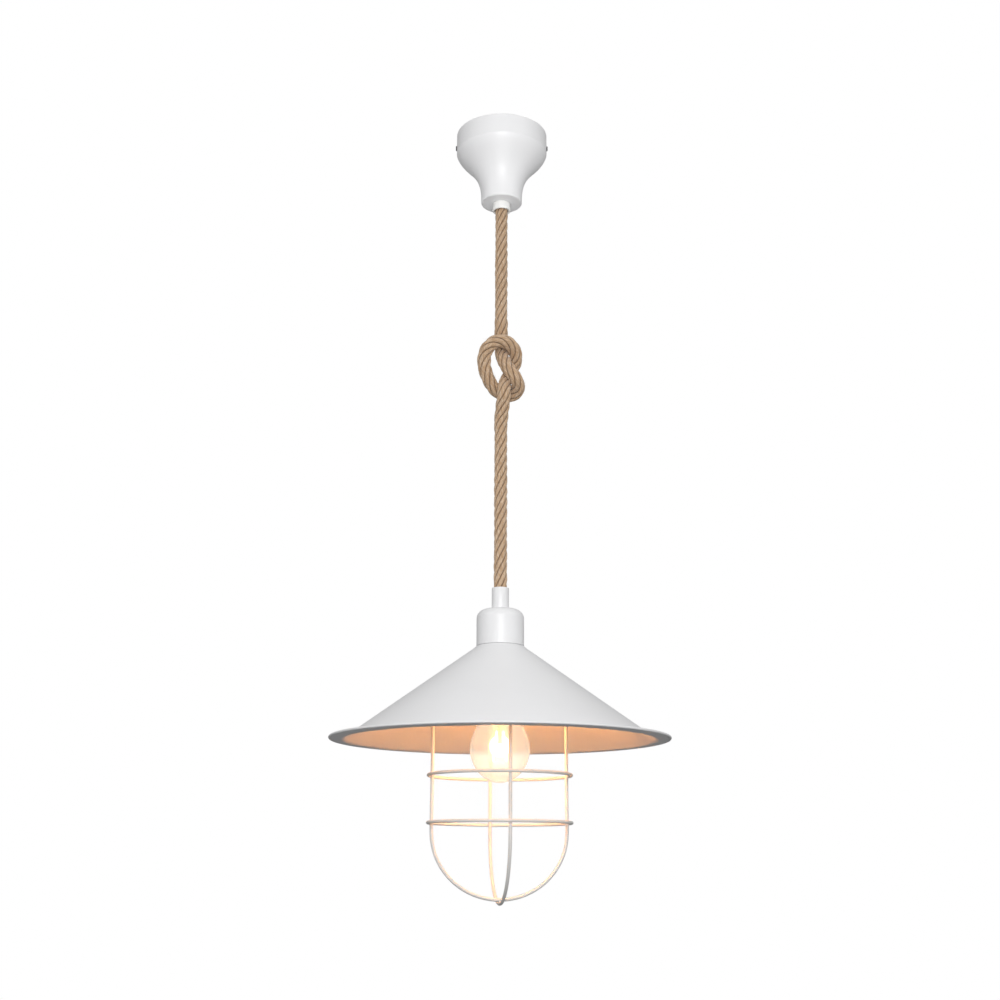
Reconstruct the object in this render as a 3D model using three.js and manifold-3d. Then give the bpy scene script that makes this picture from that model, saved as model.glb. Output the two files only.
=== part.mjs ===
// Pendant lantern: a ceiling canopy, a knotted rope, and a lamp head with a cone shade and a wire guard.
// Millimetres, +Z up, -Y to the front. The origin is the centre of the face that meets the ceiling.
import * as THREE from 'three';
import { mergeVertices } from 'three/addons/utils/BufferGeometryUtils.js';
import Module from 'manifold-3d';

const wasm = await Module();
wasm.setup();

// ---------------------------------------------------------------- driving dimensions
const clearance = 0.3; // between pieces that touch on the real lamp
const sheetWall = 1.0; // steel sheet of the canopy, the cup and the shade

// ceiling canopy: a straight band, a bell and a narrow neck
const canopyRadius = 50.4;
const canopyBandDrop = 22;
const canopyDrop = 83;
const canopyNeckRadius = 22.6;
const canopyNeckRise = 9; // the straight neck above the bottom face
const canopyEdgeRadius = 1.6;
const canopyScrewDrop = 14;

// bracket that is screwed to the ceiling and holds the canopy by two ear screws
const bracketWidth = 20;
const bracketThickness = 2;
const bracketEarDrop = 21;
const bracketSlotLength = 12;
const bracketSlotWidth = 5;
const sideScrewRadius = 1.9;
const sideScrewHeadRadius = 3.0;
const sideScrewHeadHeight = 1.8;

// cord grip under the canopy
const gripRadius = 10;
const gripDrop = 9;
const gripStemRadius = 4.9;
const gripStemRise = 14; // above the grip's flange
const gripBoreRoom = 0.5; // round the rope, which leans in the mouth when the lamp swings

// rope and the cable inside it
const ropeRadius = 7.25;
const knotRopeRadius = 6.4; // the rope is squeezed thinner in the knot
const cableRadius = 3.2;
const leadRadius = 1.2;
const swingRoom = 2.0; // free rope between two stretches that lean against each other
const neckLength = 23.8; // first stretch of rope, between its two bending places

// lamp head, measured down from the ceiling
const sleeveTop = -518.7;
const sleeveRadius = 8.8;
const sleeveLength = 22.3;
const sleeveWeb = 5;
const cupRadius = 24.2;
const cupLength = 37.1;
const cupShoulder = 9.2;
const nippleRadius = 4.9;
const nippleBore = 3.6;

// E27 lampholder
const holderRadius = 19.8;
const holderFlangeRadius = 22.4;
const holderFlange = 2.0;
const holderSkirt = 57.5; // from the flange's seat down to the mouth
const holderCapHeight = 14;
const shellRadius = 13.9;
const shellWall = 0.4;
const shellHeight = 24.5;

// cone shade
const shadeRadius = 170;
const shadeConeRadius = 155.5; // where the cone turns into the rim's flange
const shadeTopRadius = 26;
const shadeDrop = 93.5; // from its top face to the end of the cone
const shadeRimRise = 1.2; // the flange rises outwards
const shadeHemRadius = 1.2;

// wire guard
const guardRadius = 67.2;
const guardWireRadius = 1.7;
const guardRingWireRadius = 1.6;
const guardBendDrop = 762;
const guardRingDrops = [707.4, 753.1];
const guardYaw = THREE.MathUtils.degToRad(8.5);
const guardCollarRadius = 22.8;
const guardCollarHeight = 5;
const ringNutRadius = 22.8;
const ringNutHeight = 8;

// A60 bulb with an E27 cap
const bulbRadius = 30;
const bulbBottom = -714.8;
const bulbLength = 105;
const bulbCapRadius = 13.15;
const bulbCapLength = 24;
const bulbGlassWall = 0.8;

// ---------------------------------------------------------------- colours
const WHITE = 0xe9e9e9;
const DARK = 0x3a3a3c;
const STEEL = 0xb9bcc0;
const BRASS = 0xc2a15a;
const ROPE = 0xb08f68;

// ---------------------------------------------------------------- shape helpers
const lantern = new THREE.Group();

/** Add one named piece with its own material. */
function piece(name, geometry, color, roughness = 0.5, metalness = 0) {
  const mesh = new THREE.Mesh(geometry, new THREE.MeshStandardMaterial({ color, roughness, metalness }));
  mesh.name = name;
  lantern.add(mesh);
  return mesh;
}

/** Closed mesh with shared corners, only positions, and its faces pointing out. */
function closed(geometry) {
  const bare = geometry.clone();
  bare.deleteAttribute('normal');
  bare.deleteAttribute('uv');
  const merged = mergeVertices(bare, 1e-4);
  const points = merged.attributes.position.array;
  const faces = [];
  let volume = 0;
  for (let i = 0; i < merged.index.count; i += 3) {
    const corner = [0, 1, 2].map((k) => merged.index.array[i + k]);
    if (new Set(corner).size < 3) continue;
    faces.push(...corner);
    const [a, b, c] = corner.map((v) => new THREE.Vector3().fromArray(points, v * 3));
    volume += a.dot(b.cross(c));
  }
  if (volume < 0) faces.reverse();
  merged.setIndex(faces);
  return merged;
}

function solid(geometry) {
  const merged = closed(geometry);
  const triVerts = new Uint32Array(merged.index.array);
  const vertProperties = new Float32Array(merged.attributes.position.array);
  return new wasm.Manifold(new wasm.Mesh({ numProp: 3, vertProperties, triVerts }));
}

function meshOf(manifold) {
  const { vertProperties, triVerts } = manifold.getMesh();
  const geometry = new THREE.BufferGeometry();
  geometry.setAttribute('position', new THREE.BufferAttribute(new Float32Array(vertProperties), 3));
  geometry.setIndex(new THREE.BufferAttribute(new Uint32Array(triVerts), 1));
  geometry.computeVertexNormals();
  return geometry;
}

/** The body with every tool cut out of it. */
function cut(body, tools) {
  return meshOf(tools.reduce((rest, tool) => rest.subtract(solid(tool)), solid(body)));
}

/** Solid of revolution about Z; the outline holds [radius, z] pairs and is closed here if it doesn't start on the axis. */
function turned(outline, segments = 32) {
  const points = outline.map(([r, z]) => new THREE.Vector2(r, z));
  if (outline[0][0] > 0) points.push(points[0].clone());
  return closed(new THREE.LatheGeometry(points, segments).rotateX(Math.PI / 2));
}

/** Solid rod about Z from z0 up to z1. */
function rod(radius, z0, z1, segments = 20) {
  return new THREE.CylinderGeometry(radius, radius, z1 - z0, segments)
    .rotateX(Math.PI / 2)
    .translate(0, 0, (z0 + z1) / 2);
}

/** Tube about Z from z0 up to z1. */
function pipe(outer, inner, z0, z1, segments = 32) {
  return turned([[inner, z0], [outer, z0], [outer, z1], [inner, z1]], segments);
}

/** Round section carried along a curve. */
function swept(curve, radius, sides, steps) {
  const section = new THREE.Shape();
  for (let i = 0; i < sides; i += 1) {
    const angle = (2 * Math.PI * (i + 0.5)) / sides;
    const [x, y] = [radius * Math.cos(angle), radius * Math.sin(angle)];
    if (i) section.lineTo(x, y);
    else section.moveTo(x, y);
  }
  section.closePath();
  return new THREE.ExtrudeGeometry(section, { steps, extrudePath: curve, bevelEnabled: false });
}

const along = (points) => new THREE.CatmullRomCurve3(points.map((p) => new THREE.Vector3(...p)));

/** Hexagonal nut about Z, from z0 up, with a round bore. */
function hexNut(acrossFlats, bore, z0, height) {
  const corner = acrossFlats / Math.sqrt(3);
  const blank = new THREE.CylinderGeometry(corner, corner, height, 6).rotateX(Math.PI / 2);
  return cut(blank.translate(0, 0, z0 + height / 2), [rod(bore, z0 - 1, z0 + height + 1)]);
}

/** The same outline moved sideways, each point along its own normal: to the right of its direction if wall > 0. */
function inset(outline, wall) {
  return outline.map(([r, z], i) => {
    const [r0, z0] = outline[Math.max(i - 1, 0)];
    const [r1, z1] = outline[Math.min(i + 1, outline.length - 1)];
    const length = Math.hypot(r1 - r0, z1 - z0);
    return [r + (wall * (z1 - z0)) / length, z - (wall * (r1 - r0)) / length];
  });
}

/** Points of a quarter-ellipse-like arc about [centreR, centreZ], from one angle to another, in degrees. */
function arc(centreR, centreZ, radiusR, radiusZ, from, to, steps) {
  return Array.from({ length: steps + 1 }, (_, i) => {
    const angle = THREE.MathUtils.degToRad(from + ((to - from) * i) / steps);
    return [centreR + radiusR * Math.cos(angle), centreZ + radiusZ * Math.sin(angle)];
  });
}

// ---------------------------------------------------------------- ceiling canopy
const canopyInner = canopyRadius - sheetWall;
const earFace = Math.sqrt((canopyInner - 1) ** 2 - (bracketWidth / 2) ** 2); // the ears' corners clear the band
const canopyBottom = -canopyDrop;
const gripStemHole = gripStemRadius + clearance;

/** Outside of the canopy from the ceiling to the edge of its bottom face. */
function canopyOutline() {
  const neckTop = canopyBottom + canopyNeckRise;
  const bell = new THREE.CubicBezierCurve(
    new THREE.Vector2(canopyRadius - 0.1, -canopyBandDrop),
    new THREE.Vector2(canopyRadius - 0.1, -canopyBandDrop - 19),
    new THREE.Vector2(canopyNeckRadius + 0.4, -canopyBandDrop - 24),
    new THREE.Vector2(canopyNeckRadius + 0.1, neckTop),
  );
  const side = [[canopyRadius, 0], ...bell.getPoints(7).map((p) => [p.x, p.y])];
  const edge = canopyEdgeRadius;
  return [...side, ...arc(canopyNeckRadius - edge, canopyBottom + edge, edge, edge, 0, -90, 2)];
}

/** Bell-shaped sheet cover with a hole for the cord grip and two for the side screws. */
function canopyCover() {
  const outside = canopyOutline();
  const inside = inset(outside, sheetWall);
  inside[0][1] = 0;
  inside[inside.length - 1][1] = canopyBottom + sheetWall;
  const shell = [...outside, [gripStemHole, canopyBottom], [gripStemHole, canopyBottom + sheetWall]];
  const body = turned([...shell, ...inside.reverse()], 32);
  const hole = rod(sideScrewRadius + 2 * clearance, -canopyRadius - 5, canopyRadius + 5)
    .rotateY(Math.PI / 2)
    .translate(0, 0, -canopyScrewDrop);
  return cut(body, [hole]);
}

/** Strap with two bent-down ears, two slots for the ceiling screws and a tapped hole in each ear. */
function ceilingBracket() {
  const [half, t, ear] = [earFace, bracketThickness, bracketEarDrop];
  const outline = [
    [-half, 0], [half, 0], [half, -ear], [half - t, -ear], [half - t, -t],
    [-half + t, -t], [-half + t, -ear], [-half, -ear],
  ];
  const shape = new THREE.Shape(outline.map(([x, z]) => new THREE.Vector2(x, z)));
  const strap = new THREE.ExtrudeGeometry(shape, { depth: bracketWidth, bevelEnabled: false })
    .rotateX(Math.PI / 2)
    .translate(0, bracketWidth / 2, 0);
  const slots = [-1, 1].map((side) => new THREE.BoxGeometry(bracketSlotLength, bracketSlotWidth, 8)
    .translate(side * 0.62 * half, 0, 0));
  const tap = rod(sideScrewRadius + clearance, -half - 5, half + 5)
    .rotateY(Math.PI / 2)
    .translate(0, 0, -canopyScrewDrop);
  return cut(strap, [...slots, tap]);
}

/** Pan-head screw along +X, its head outside the canopy. */
function sideScrew() {
  const seat = canopyRadius + clearance;
  const tip = earFace - bracketThickness - 2.5;
  const [shank, head, crown] = [sideScrewRadius, sideScrewHeadRadius, sideScrewHeadHeight];
  const outline = [
    [0, tip], [shank, tip], [shank, seat], [head, seat], [head, seat + 0.6 * crown],
    [0.7 * head, seat + crown], [0, seat + crown],
  ];
  return turned(outline, 16).rotateY(Math.PI / 2);
}

piece('ceiling_bracket', ceilingBracket(), STEEL, 0.4, 0.9);
piece('canopy_cover', canopyCover(), WHITE, 0.4);
for (const [side, turn] of [['right', 0], ['left', Math.PI]]) {
  const screw = piece(`canopy_screw_${side}`, sideScrew(), DARK, 0.4, 0.8);
  screw.rotation.z = turn;
  screw.position.z = -canopyScrewDrop;
}

// ---------------------------------------------------------------- terminal block inside the canopy
const blockWidth = 27;
const blockDepth = 14;
const blockHeight = 13;
const blockPitch = 9;
const blockTop = -bracketThickness - clearance;
const leadBoreRadius = 1.8;
const leadHeight = blockTop - 0.62 * blockHeight;
const wayPlaces = [-blockPitch, 0, blockPitch];

/** Three-way block: a wire bore front to back and a screw well from below at each way. */
function terminalBlock() {
  const body = new THREE.BoxGeometry(blockWidth, blockDepth, blockHeight)
    .translate(0, 0, blockTop - blockHeight / 2);
  const bores = wayPlaces.map((x) => rod(leadBoreRadius, -blockDepth, blockDepth, 12)
    .rotateX(Math.PI / 2)
    .translate(x, 0, leadHeight));
  const wells = wayPlaces.map((x) => rod(2.1, blockTop - blockHeight - 1, blockTop - blockHeight + 3.2, 12)
    .translate(x, -3, 0));
  return cut(body, [...bores, ...wells]);
}

piece('terminal_block', terminalBlock(), 0xf1eee6, 0.6);
wayPlaces.forEach((x, i) => {
  const foot = blockTop - blockHeight;
  const screw = rod(1.7, foot + 0.4, foot + 2.9, 12).translate(x, -3, 0);
  piece(`terminal_screw_${i + 1}`, screw, BRASS, 0.35, 0.9);
});

// ---------------------------------------------------------------- cord grip, cable and leads
const gripTop = canopyBottom - clearance;
const gripMouth = gripTop - gripDrop;
const gripBore = ropeRadius + gripBoreRoom;
const gripShelf = gripTop - 2;
const cableTop = canopyBottom + 24;

/** Collar that clamps the rope's end, with a hollow stem through the canopy's bottom face. */
function cordGrip() {
  const stemTop = gripTop + gripStemRise;
  const bore = cableRadius + 0.4;
  const body = turned([
    [bore, stemTop], [bore, gripShelf], [gripBore, gripShelf], [gripBore, gripMouth],
    [gripRadius - 0.8, gripMouth], [gripRadius, gripMouth + 0.8], [gripRadius, gripTop],
    [gripStemRadius, gripTop], [gripStemRadius, stemTop],
  ], 32);
  return cut(body, [radialHole(gripRadius, gripTop - 0.5 * gripDrop)]);
}

/** Cutting tool for a grub screw from the back of a collar at height z. */
function radialHole(radius, z) {
  return rod(1.8, -radius - 2, -radius / 2, 12).rotateX(Math.PI / 2).translate(0, 0, z);
}

/** Grub screw from the back of a collar of this outer and bore radius, at height z. */
function grubScrew(outer, bore, z) {
  return rod(1.45, -outer + 0.2, -bore + clearance / 2, 12).rotateX(Math.PI / 2).translate(0, 0, z);
}

piece('cord_grip', cordGrip(), 0xf4f4f2, 0.45);
piece('cord_grip_screw', grubScrew(gripRadius, gripBore, gripTop - 0.5 * gripDrop), 0xe6e6e4, 0.5);
const washerSeat = canopyBottom + sheetWall + clearance;
piece('grip_washer', pipe(9, gripStemHole, washerSeat, washerSeat + 1, 24), STEEL, 0.4, 0.9);
piece('grip_nut', hexNut(15, gripStemHole, washerSeat + 1 + clearance, 4), STEEL, 0.4, 0.9);
piece('supply_cable', rod(cableRadius, gripShelf + clearance, cableTop, 16), 0xf0f0f0, 0.6);

['live', 'earth', 'neutral'].forEach((name, i) => {
  const x = wayPlaces[i];
  const [startX, startY] = [Math.sign(x) * 1.5, x ? -0.9 : 1.7]; // three cores in a triangle
  const route = [
    [startX, startY, cableTop + clearance],
    [startX, startY, cableTop + 4],
    [0.35 * x, 2.5, cableTop + 13],
    [0.7 * x, 10, cableTop + 24],
    [x, 15.5, leadHeight - 8],
    [x, 14, leadHeight - 1],
    [x, blockDepth / 2 + 1, leadHeight],
    [x, 1.5, leadHeight],
  ];
  piece(`${name}_lead`, swept(along(route), leadRadius, 8, 14), [0x7a4a2a, 0x9bbf2e, 0x2f6fbf][i], 0.5);
});

// ---------------------------------------------------------------- rope
const neckTop = gripMouth - 0.1;
const neckBottom = neckTop - neckLength;
const dropTop = neckBottom - swingRoom;

// centre line of the overhand knot, from the rope above it to the rope below it
const knotRoute = [
  [0, 0, -216], [0, 0, -225], [0, 3.5, -236], [0, 8.5, -247], [0.2, 5.5, -259], [2, -3.5, -271], [7, -9.5, -283],
  [14, -8, -293], [18.3, 0, -300], [12.5, 7.5, -305.5], [1, 9.5, -305.5], [-10, 6.5, -299],
  [-16.9, 1, -287], [-18.8, -2.5, -272], [-16, -6.5, -260], [-8.6, -9.5, -252.5], [0.5, -10, -250.5],
  [9, -7.5, -253], [15.2, -0.5, -260], [15, 7, -269], [9.5, 9.5, -279], [2.8, 4, -290],
  [-1.5, -5, -299], [-2.5, -9.5, -309], [-1, -6, -320], [0, -1.5, -331], [0, 0, -341], [0, 0, -350],
];
const knotTop = knotRoute[0][2];
const knotBottom = knotRoute[knotRoute.length - 1][2];
const ropeFoot = sleeveTop - sleeveLength + sleeveWeb + 3;

/** Straight rope about Z. */
const straightRope = (z0, z1) => rod(ropeRadius, z0, z1, 12);

piece('rope_end', straightRope(gripMouth + swingRoom - 0.2, gripShelf - clearance), ROPE, 0.9);
piece('rope_neck', straightRope(neckBottom, neckTop), ROPE, 0.9);
piece('rope_upper', straightRope(knotTop + clearance, dropTop), ROPE, 0.9);
piece('rope_knot', swept(along(knotRoute), knotRopeRadius, 8, 44), ROPE, 0.9);
piece('rope_lower', straightRope(ropeFoot, knotBottom - clearance), ROPE, 0.9);

// ---------------------------------------------------------------- rope sleeve and socket cup
const sleeveBottom = sleeveTop - sleeveLength;
const cupTop = sleeveBottom - clearance;
const cupBottom = cupTop - cupLength;
const nippleHole = nippleRadius + clearance;
const sleeveScrewHeight = sleeveTop - 8;

/** Tube that the rope's lower end is clamped in, with a web that the nipple screws into. */
function ropeSleeve() {
  const bore = ropeRadius + 0.4;
  const body = turned([
    [nippleHole, sleeveBottom], [sleeveRadius, sleeveBottom], [sleeveRadius, sleeveTop],
    [bore, sleeveTop], [bore, sleeveBottom + sleeveWeb], [nippleHole, sleeveBottom + sleeveWeb],
  ], 32);
  return cut(body, [radialHole(sleeveRadius, sleeveScrewHeight)]);
}

/** Spun cup with a rounded shoulder, open at the bottom. */
function socketCup() {
  const flat = cupRadius - cupShoulder - 1;
  const outside = [
    [cupRadius, cupBottom],
    ...arc(flat, cupTop - cupShoulder, cupRadius - flat, cupShoulder, 0, 90, 5),
  ];
  const inside = inset(outside, -sheetWall);
  inside[0][1] = cupBottom;
  inside[inside.length - 1][1] = cupTop - sheetWall;
  return turned([...outside, [nippleHole, cupTop], [nippleHole, cupTop - sheetWall], ...inside.reverse()], 32);
}

piece('rope_sleeve', ropeSleeve(), WHITE, 0.4);
piece('sleeve_screw', grubScrew(sleeveRadius, ropeRadius + 0.4, sleeveScrewHeight), DARK, 0.4, 0.8);
piece('socket_cup', socketCup(), WHITE, 0.4);

// ---------------------------------------------------------------- nipple and lampholder
const flangeSeat = cupBottom;
const holderTop = flangeSeat + holderFlange + 1.2;
const holderMouth = flangeSeat - holderSkirt;
const holderCapTop = holderTop + clearance + holderCapHeight;
const nippleTop = sleeveBottom + sleeveWeb - 0.4;
const nippleBottom = holderCapTop - 6;
const bulbTip = bulbBottom + bulbLength;
const webBottom = bulbTip + 1.6;
const webTop = webBottom + 5;

piece('threaded_nipple', pipe(nippleRadius, nippleBore, nippleBottom, nippleTop, 24), BRASS, 0.35, 0.9);
piece('nipple_nut', hexNut(14, nippleHole, cupTop - sheetWall - clearance - 3, 3), STEEL, 0.4, 0.9);

/** Cover of the holder's terminal room, hung on the nipple. */
function holderCap() {
  const base = holderTop + clearance;
  const crown = holderCapTop;
  const wall = 2;
  return turned([
    [nippleHole, crown - wall], [nippleHole, crown], [holderRadius - 6, crown], [holderRadius, crown - 6],
    [holderRadius, base], [holderRadius - wall, base], [holderRadius - wall, crown - 6.8],
    [holderRadius - 6.8, crown - wall],
  ], 32);
}

/** Holder body: terminal room above a web, a flange for the shade, and the mouth for the bulb's cap. */
function holderBody() {
  const bore = shellRadius + clearance;
  return turned([
    [holderRadius, holderTop], [holderRadius, flangeSeat + holderFlange],
    [holderFlangeRadius, flangeSeat + holderFlange], [holderFlangeRadius, flangeSeat],
    [holderRadius, flangeSeat], [holderRadius, holderMouth], [bore, holderMouth], [bore, webBottom],
    [3.2, webBottom], [3.2, webTop], [holderRadius - 3, webTop], [holderRadius - 3, holderTop],
  ], 32);
}

const contactFace = bulbTip + clearance;
const centreContact = [
  [0, contactFace], [4, contactFace], [4, contactFace + 0.8], [2.8, contactFace + 0.8],
  [2.8, webTop + 1.5], [0, webTop + 1.5],
];
const shellTop = holderMouth + 2 + shellHeight;

piece('holder_cap', holderCap(), DARK, 0.5);
piece('holder_body', holderBody(), DARK, 0.5);
piece('centre_contact', turned(centreContact, 16), BRASS, 0.35, 0.9);
const shellInner = shellRadius - shellWall;
piece('screw_shell', pipe(shellRadius, shellInner, holderMouth + 2, shellTop, 32), BRASS, 0.35, 0.9);

const postHeight = 9;
for (const [side, name, color] of [[-1, 'live', 0x7a4a2a], [1, 'neutral', 0x2f6fbf]]) {
  const x = side * 0.52 * holderRadius;
  const postTop = webTop + clearance + postHeight;
  const post = new THREE.BoxGeometry(5, 6, postHeight).translate(x, 0, postTop - postHeight / 2);
  piece(`holder_terminal_${name}`, post, BRASS, 0.35, 0.9);
  const route = [
    [0.16 * x, 0, nippleBottom - 2.5 - clearance],
    [0.16 * x, 0, nippleBottom - 6],
    [0.9 * x, 2, postTop + 8],
    [x, 0, postTop + 4],
    [x, 0, postTop + clearance],
  ];
  piece(`holder_lead_${name}`, swept(along(route), leadRadius, 8, 10), color, 0.5);
}
piece('lamp_cable', rod(3.0, nippleBottom - 2.5, ropeFoot - clearance, 16), 0xf0f0f0, 0.6);

// ---------------------------------------------------------------- shade and its ring nut
const shadeTop = cupBottom - clearance;
const holderHole = holderRadius + 0.5;
const coneFoot = shadeTop - shadeDrop;
const rimHeight = coneFoot + shadeRimRise;

/** Outside of the shade from its neck hole to the foot of the cone and out along the flange. */
function shadeOutline() {
  return [
    [shadeTopRadius - 2, shadeTop], [shadeTopRadius, shadeTop - 0.6], [shadeTopRadius + 1.5, shadeTop - 2],
    [65, shadeTop - 2 - ((65 - shadeTopRadius - 1.5) * (shadeDrop - 2)) / (shadeConeRadius - shadeTopRadius - 1.5)],
    [shadeConeRadius - 0.8, coneFoot + 0.5], [shadeConeRadius + 0.8, coneFoot - 0.1],
  ];
}

/** Spun cone with a neck hole, a narrow flange and a rolled hem. */
function shadeBody() {
  const outside = shadeOutline();
  const inside = inset(outside, sheetWall);
  inside[0][1] = shadeTop - sheetWall;
  const hemCentre = [shadeRadius - shadeHemRadius, rimHeight];
  const hem = arc(...hemCentre, shadeHemRadius, shadeHemRadius, 150, -150, 6);
  const outline = [[holderHole, shadeTop], ...outside, ...hem, ...inside.reverse()];
  return turned([...outline, [holderHole, shadeTop - sheetWall]], 60);
}

piece('shade', shadeBody(), WHITE, 0.35);

const guardCollarTop = shadeTop - sheetWall - clearance;
const ringNutTop = guardCollarTop - guardCollarHeight - clearance;
const collarPipe = pipe(guardCollarRadius, holderHole, guardCollarTop - guardCollarHeight, guardCollarTop, 40);
piece('guard_collar', collarPipe, WHITE, 0.35, 0.3);

/** Ring nut on the holder's thread, with grip notches round it. */
function ringNut() {
  const body = pipe(ringNutRadius, holderHole, ringNutTop - ringNutHeight, ringNutTop, 40);
  const notch = new THREE.BoxGeometry(2, 3, ringNutHeight + 2);
  const notches = Array.from({ length: 8 }, (_, i) => notch.clone()
    .translate(ringNutRadius, 0, ringNutTop - ringNutHeight / 2)
    .rotateZ((2 * Math.PI * i) / 8));
  return cut(body, notches);
}

piece('shade_ring_nut', ringNut(), DARK, 0.5);

// ---------------------------------------------------------------- wire guard
const coneSlope = (shadeDrop - 2) / (shadeConeRadius - shadeTopRadius - 1.5);
const wireGap = sheetWall / Math.cos(Math.atan(coneSlope)) + guardWireRadius + 2.2;
const coneHeight = (r) => shadeTop - 2 - (r - shadeTopRadius - 1.5) * coneSlope - wireGap;

/** One bent wire: out along the cone, down, round the bottom and back up; depth is its lowest centre. */
function guardWirePoints(depth) {
  const start = guardCollarRadius + clearance + 1; // the sloping wire's end face leans towards the collar
  const bend = guardRadius - 6;
  const arm = [
    [start, coneHeight(start)], [start + 12, coneHeight(start + 12)], [bend - 8, coneHeight(bend - 8)],
    [bend, coneHeight(bend) - 0.3], [guardRadius - 1.4, coneHeight(guardRadius) - 1.2],
    [guardRadius, coneHeight(guardRadius) - 8], [guardRadius, -guardBendDrop + 80],
    [guardRadius, -guardBendDrop + 40],
  ];
  const bow = arc(0, -guardBendDrop, guardRadius, depth - guardBendDrop, 0, -180, 24);
  const back = arm.map(([r, z]) => [-r, z]).reverse();
  return [...arm, ...bow, ...back];
}

/** The wires cross at the bottom, so the lower one hangs a wire's thickness and a gap further down. */
function guardWire(depth, yaw) {
  const points = guardWirePoints(depth).map(([r, z]) => [r * Math.cos(yaw), r * Math.sin(yaw), z]);
  return swept(along(points), guardWireRadius, 6, 56);
}

const guardDepth = guardBendDrop + guardRadius;
const guardCrossing = 2 * guardWireRadius + clearance;
piece('guard_wire_across', guardWire(guardDepth - guardCrossing, guardYaw), WHITE, 0.35, 0.2);
piece('guard_wire_along', guardWire(guardDepth, guardYaw + Math.PI / 2), WHITE, 0.35, 0.2);
const ringCentre = guardRadius + guardWireRadius + guardRingWireRadius + clearance;
guardRingDrops.forEach((drop, i) => {
  const ring = new THREE.TorusGeometry(ringCentre, guardRingWireRadius, 6, 40).translate(0, 0, -drop);
  piece(`guard_ring_${['upper', 'lower'][i]}`, ring, WHITE, 0.35, 0.2);
});

// ---------------------------------------------------------------- bulb
const capTop = bulbTip - 2.6;
const capBottom = capTop - bulbCapLength;
const glassShoulder = bulbBottom + 34;

/** Outside of the glass from its lowest point up to the neck in the cap. */
function bulbOutline() {
  const bowl = arc(0, glassShoulder, bulbRadius, glassShoulder - bulbBottom, -90, 0, 6);
  const neck = new THREE.CubicBezierCurve(
    new THREE.Vector2(bulbRadius, glassShoulder),
    new THREE.Vector2(bulbRadius, glassShoulder + 17),
    new THREE.Vector2(bulbCapRadius + 1.5, capBottom - 14),
    new THREE.Vector2(bulbCapRadius - 0.6, capBottom - clearance),
  );
  return [...bowl, ...neck.getPoints(6).slice(1).map((p) => [p.x, p.y])];
}

/** Glass envelope, open at the neck where the cap takes it. */
function bulbGlass() {
  const outside = bulbOutline();
  outside[0][0] = 0;
  const inside = inset(outside, -bulbGlassWall);
  inside[0] = [0, bulbBottom + bulbGlassWall];
  inside[inside.length - 1][1] = capBottom - clearance;
  const outline = [...outside, ...inside.reverse()];
  return turned(outline, 28);
}

const shellThick = 0.5;
piece('bulb_glass', bulbGlass(), 0xfff2dd, 0.1);
piece('bulb_cap', turned([
  [bulbCapRadius - shellThick, capBottom], [bulbCapRadius, capBottom], [bulbCapRadius, capTop - 3],
  [9.5, capTop], [9.5 - shellThick, capTop - 0.2], [bulbCapRadius - shellThick, capTop - 3.4],
], 32), STEEL, 0.3, 0.9);
piece('bulb_insulator', turned([
  [0, capTop - 2.2], [8.4, capTop - 2.2], [8.4, capTop + 0.2], [5, capTop + 1.2], [0, capTop + 1.2],
], 20), 0x222222, 0.2);
piece('bulb_tip_contact', turned([
  [0, capTop + 1.5], [4.4, capTop + 1.5], [3.2, bulbTip], [0, bulbTip],
], 16), STEEL, 0.3, 0.9);

const stemFoot = bulbBottom + 38;
piece('bulb_stem', turned([
  [0, stemFoot], [2.2, stemFoot], [2.6, stemFoot + 18], [7.5, capBottom + 2], [0, capBottom + 2],
], 16), 0xf5f0e6, 0.1);

/** One filament strip, leaning from near the stem's foot down and outwards. */
const filamentCount = 4;
const filamentLength = 30;
for (let i = 0; i < filamentCount; i += 1) {
  const angle = (2 * Math.PI * (i + 0.5)) / filamentCount;
  const strip = rod(0.9, -filamentLength / 2, filamentLength / 2, 8).rotateY(-0.16);
  strip.translate(7, 0, bulbBottom + 36).rotateZ(angle);
  piece(`bulb_filament_${i + 1}`, strip, 0xffc873, 0.6);
}

export default lantern;
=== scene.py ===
"""Looks of a hanging lantern: a ceiling canopy, a knotted jute rope, and a lamp head.

The lamp head has a rope sleeve, a socket cup, a cone shade, a wire guard and a screw-in bulb.
The row frame is in metres with +Z up and -Y to the front, and its origin is the middle of the
face that meets the ceiling. Sizes in the classes are millimetres; `Shape.place` turns them to metres.
"""

import logging
import math
from dataclasses import dataclass, field
from enum import Enum

import bpy
import numpy as np
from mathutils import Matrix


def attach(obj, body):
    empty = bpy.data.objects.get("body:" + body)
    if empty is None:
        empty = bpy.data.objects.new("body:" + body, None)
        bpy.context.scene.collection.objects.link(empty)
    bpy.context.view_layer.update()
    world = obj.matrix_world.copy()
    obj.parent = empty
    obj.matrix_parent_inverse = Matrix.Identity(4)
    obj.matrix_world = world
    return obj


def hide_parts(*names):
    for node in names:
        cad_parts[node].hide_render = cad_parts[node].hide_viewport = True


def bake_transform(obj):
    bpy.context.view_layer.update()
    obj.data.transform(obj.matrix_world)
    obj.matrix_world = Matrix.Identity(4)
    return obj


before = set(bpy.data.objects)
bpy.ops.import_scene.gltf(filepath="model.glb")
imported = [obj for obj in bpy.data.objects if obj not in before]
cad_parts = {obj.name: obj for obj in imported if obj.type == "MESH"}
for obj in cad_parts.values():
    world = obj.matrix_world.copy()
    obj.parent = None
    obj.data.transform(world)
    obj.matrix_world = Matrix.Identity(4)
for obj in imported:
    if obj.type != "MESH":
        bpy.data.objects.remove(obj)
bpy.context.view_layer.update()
MM = 0.001
TURN = 2 * math.pi
log = logging.getLogger("lantern")


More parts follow.
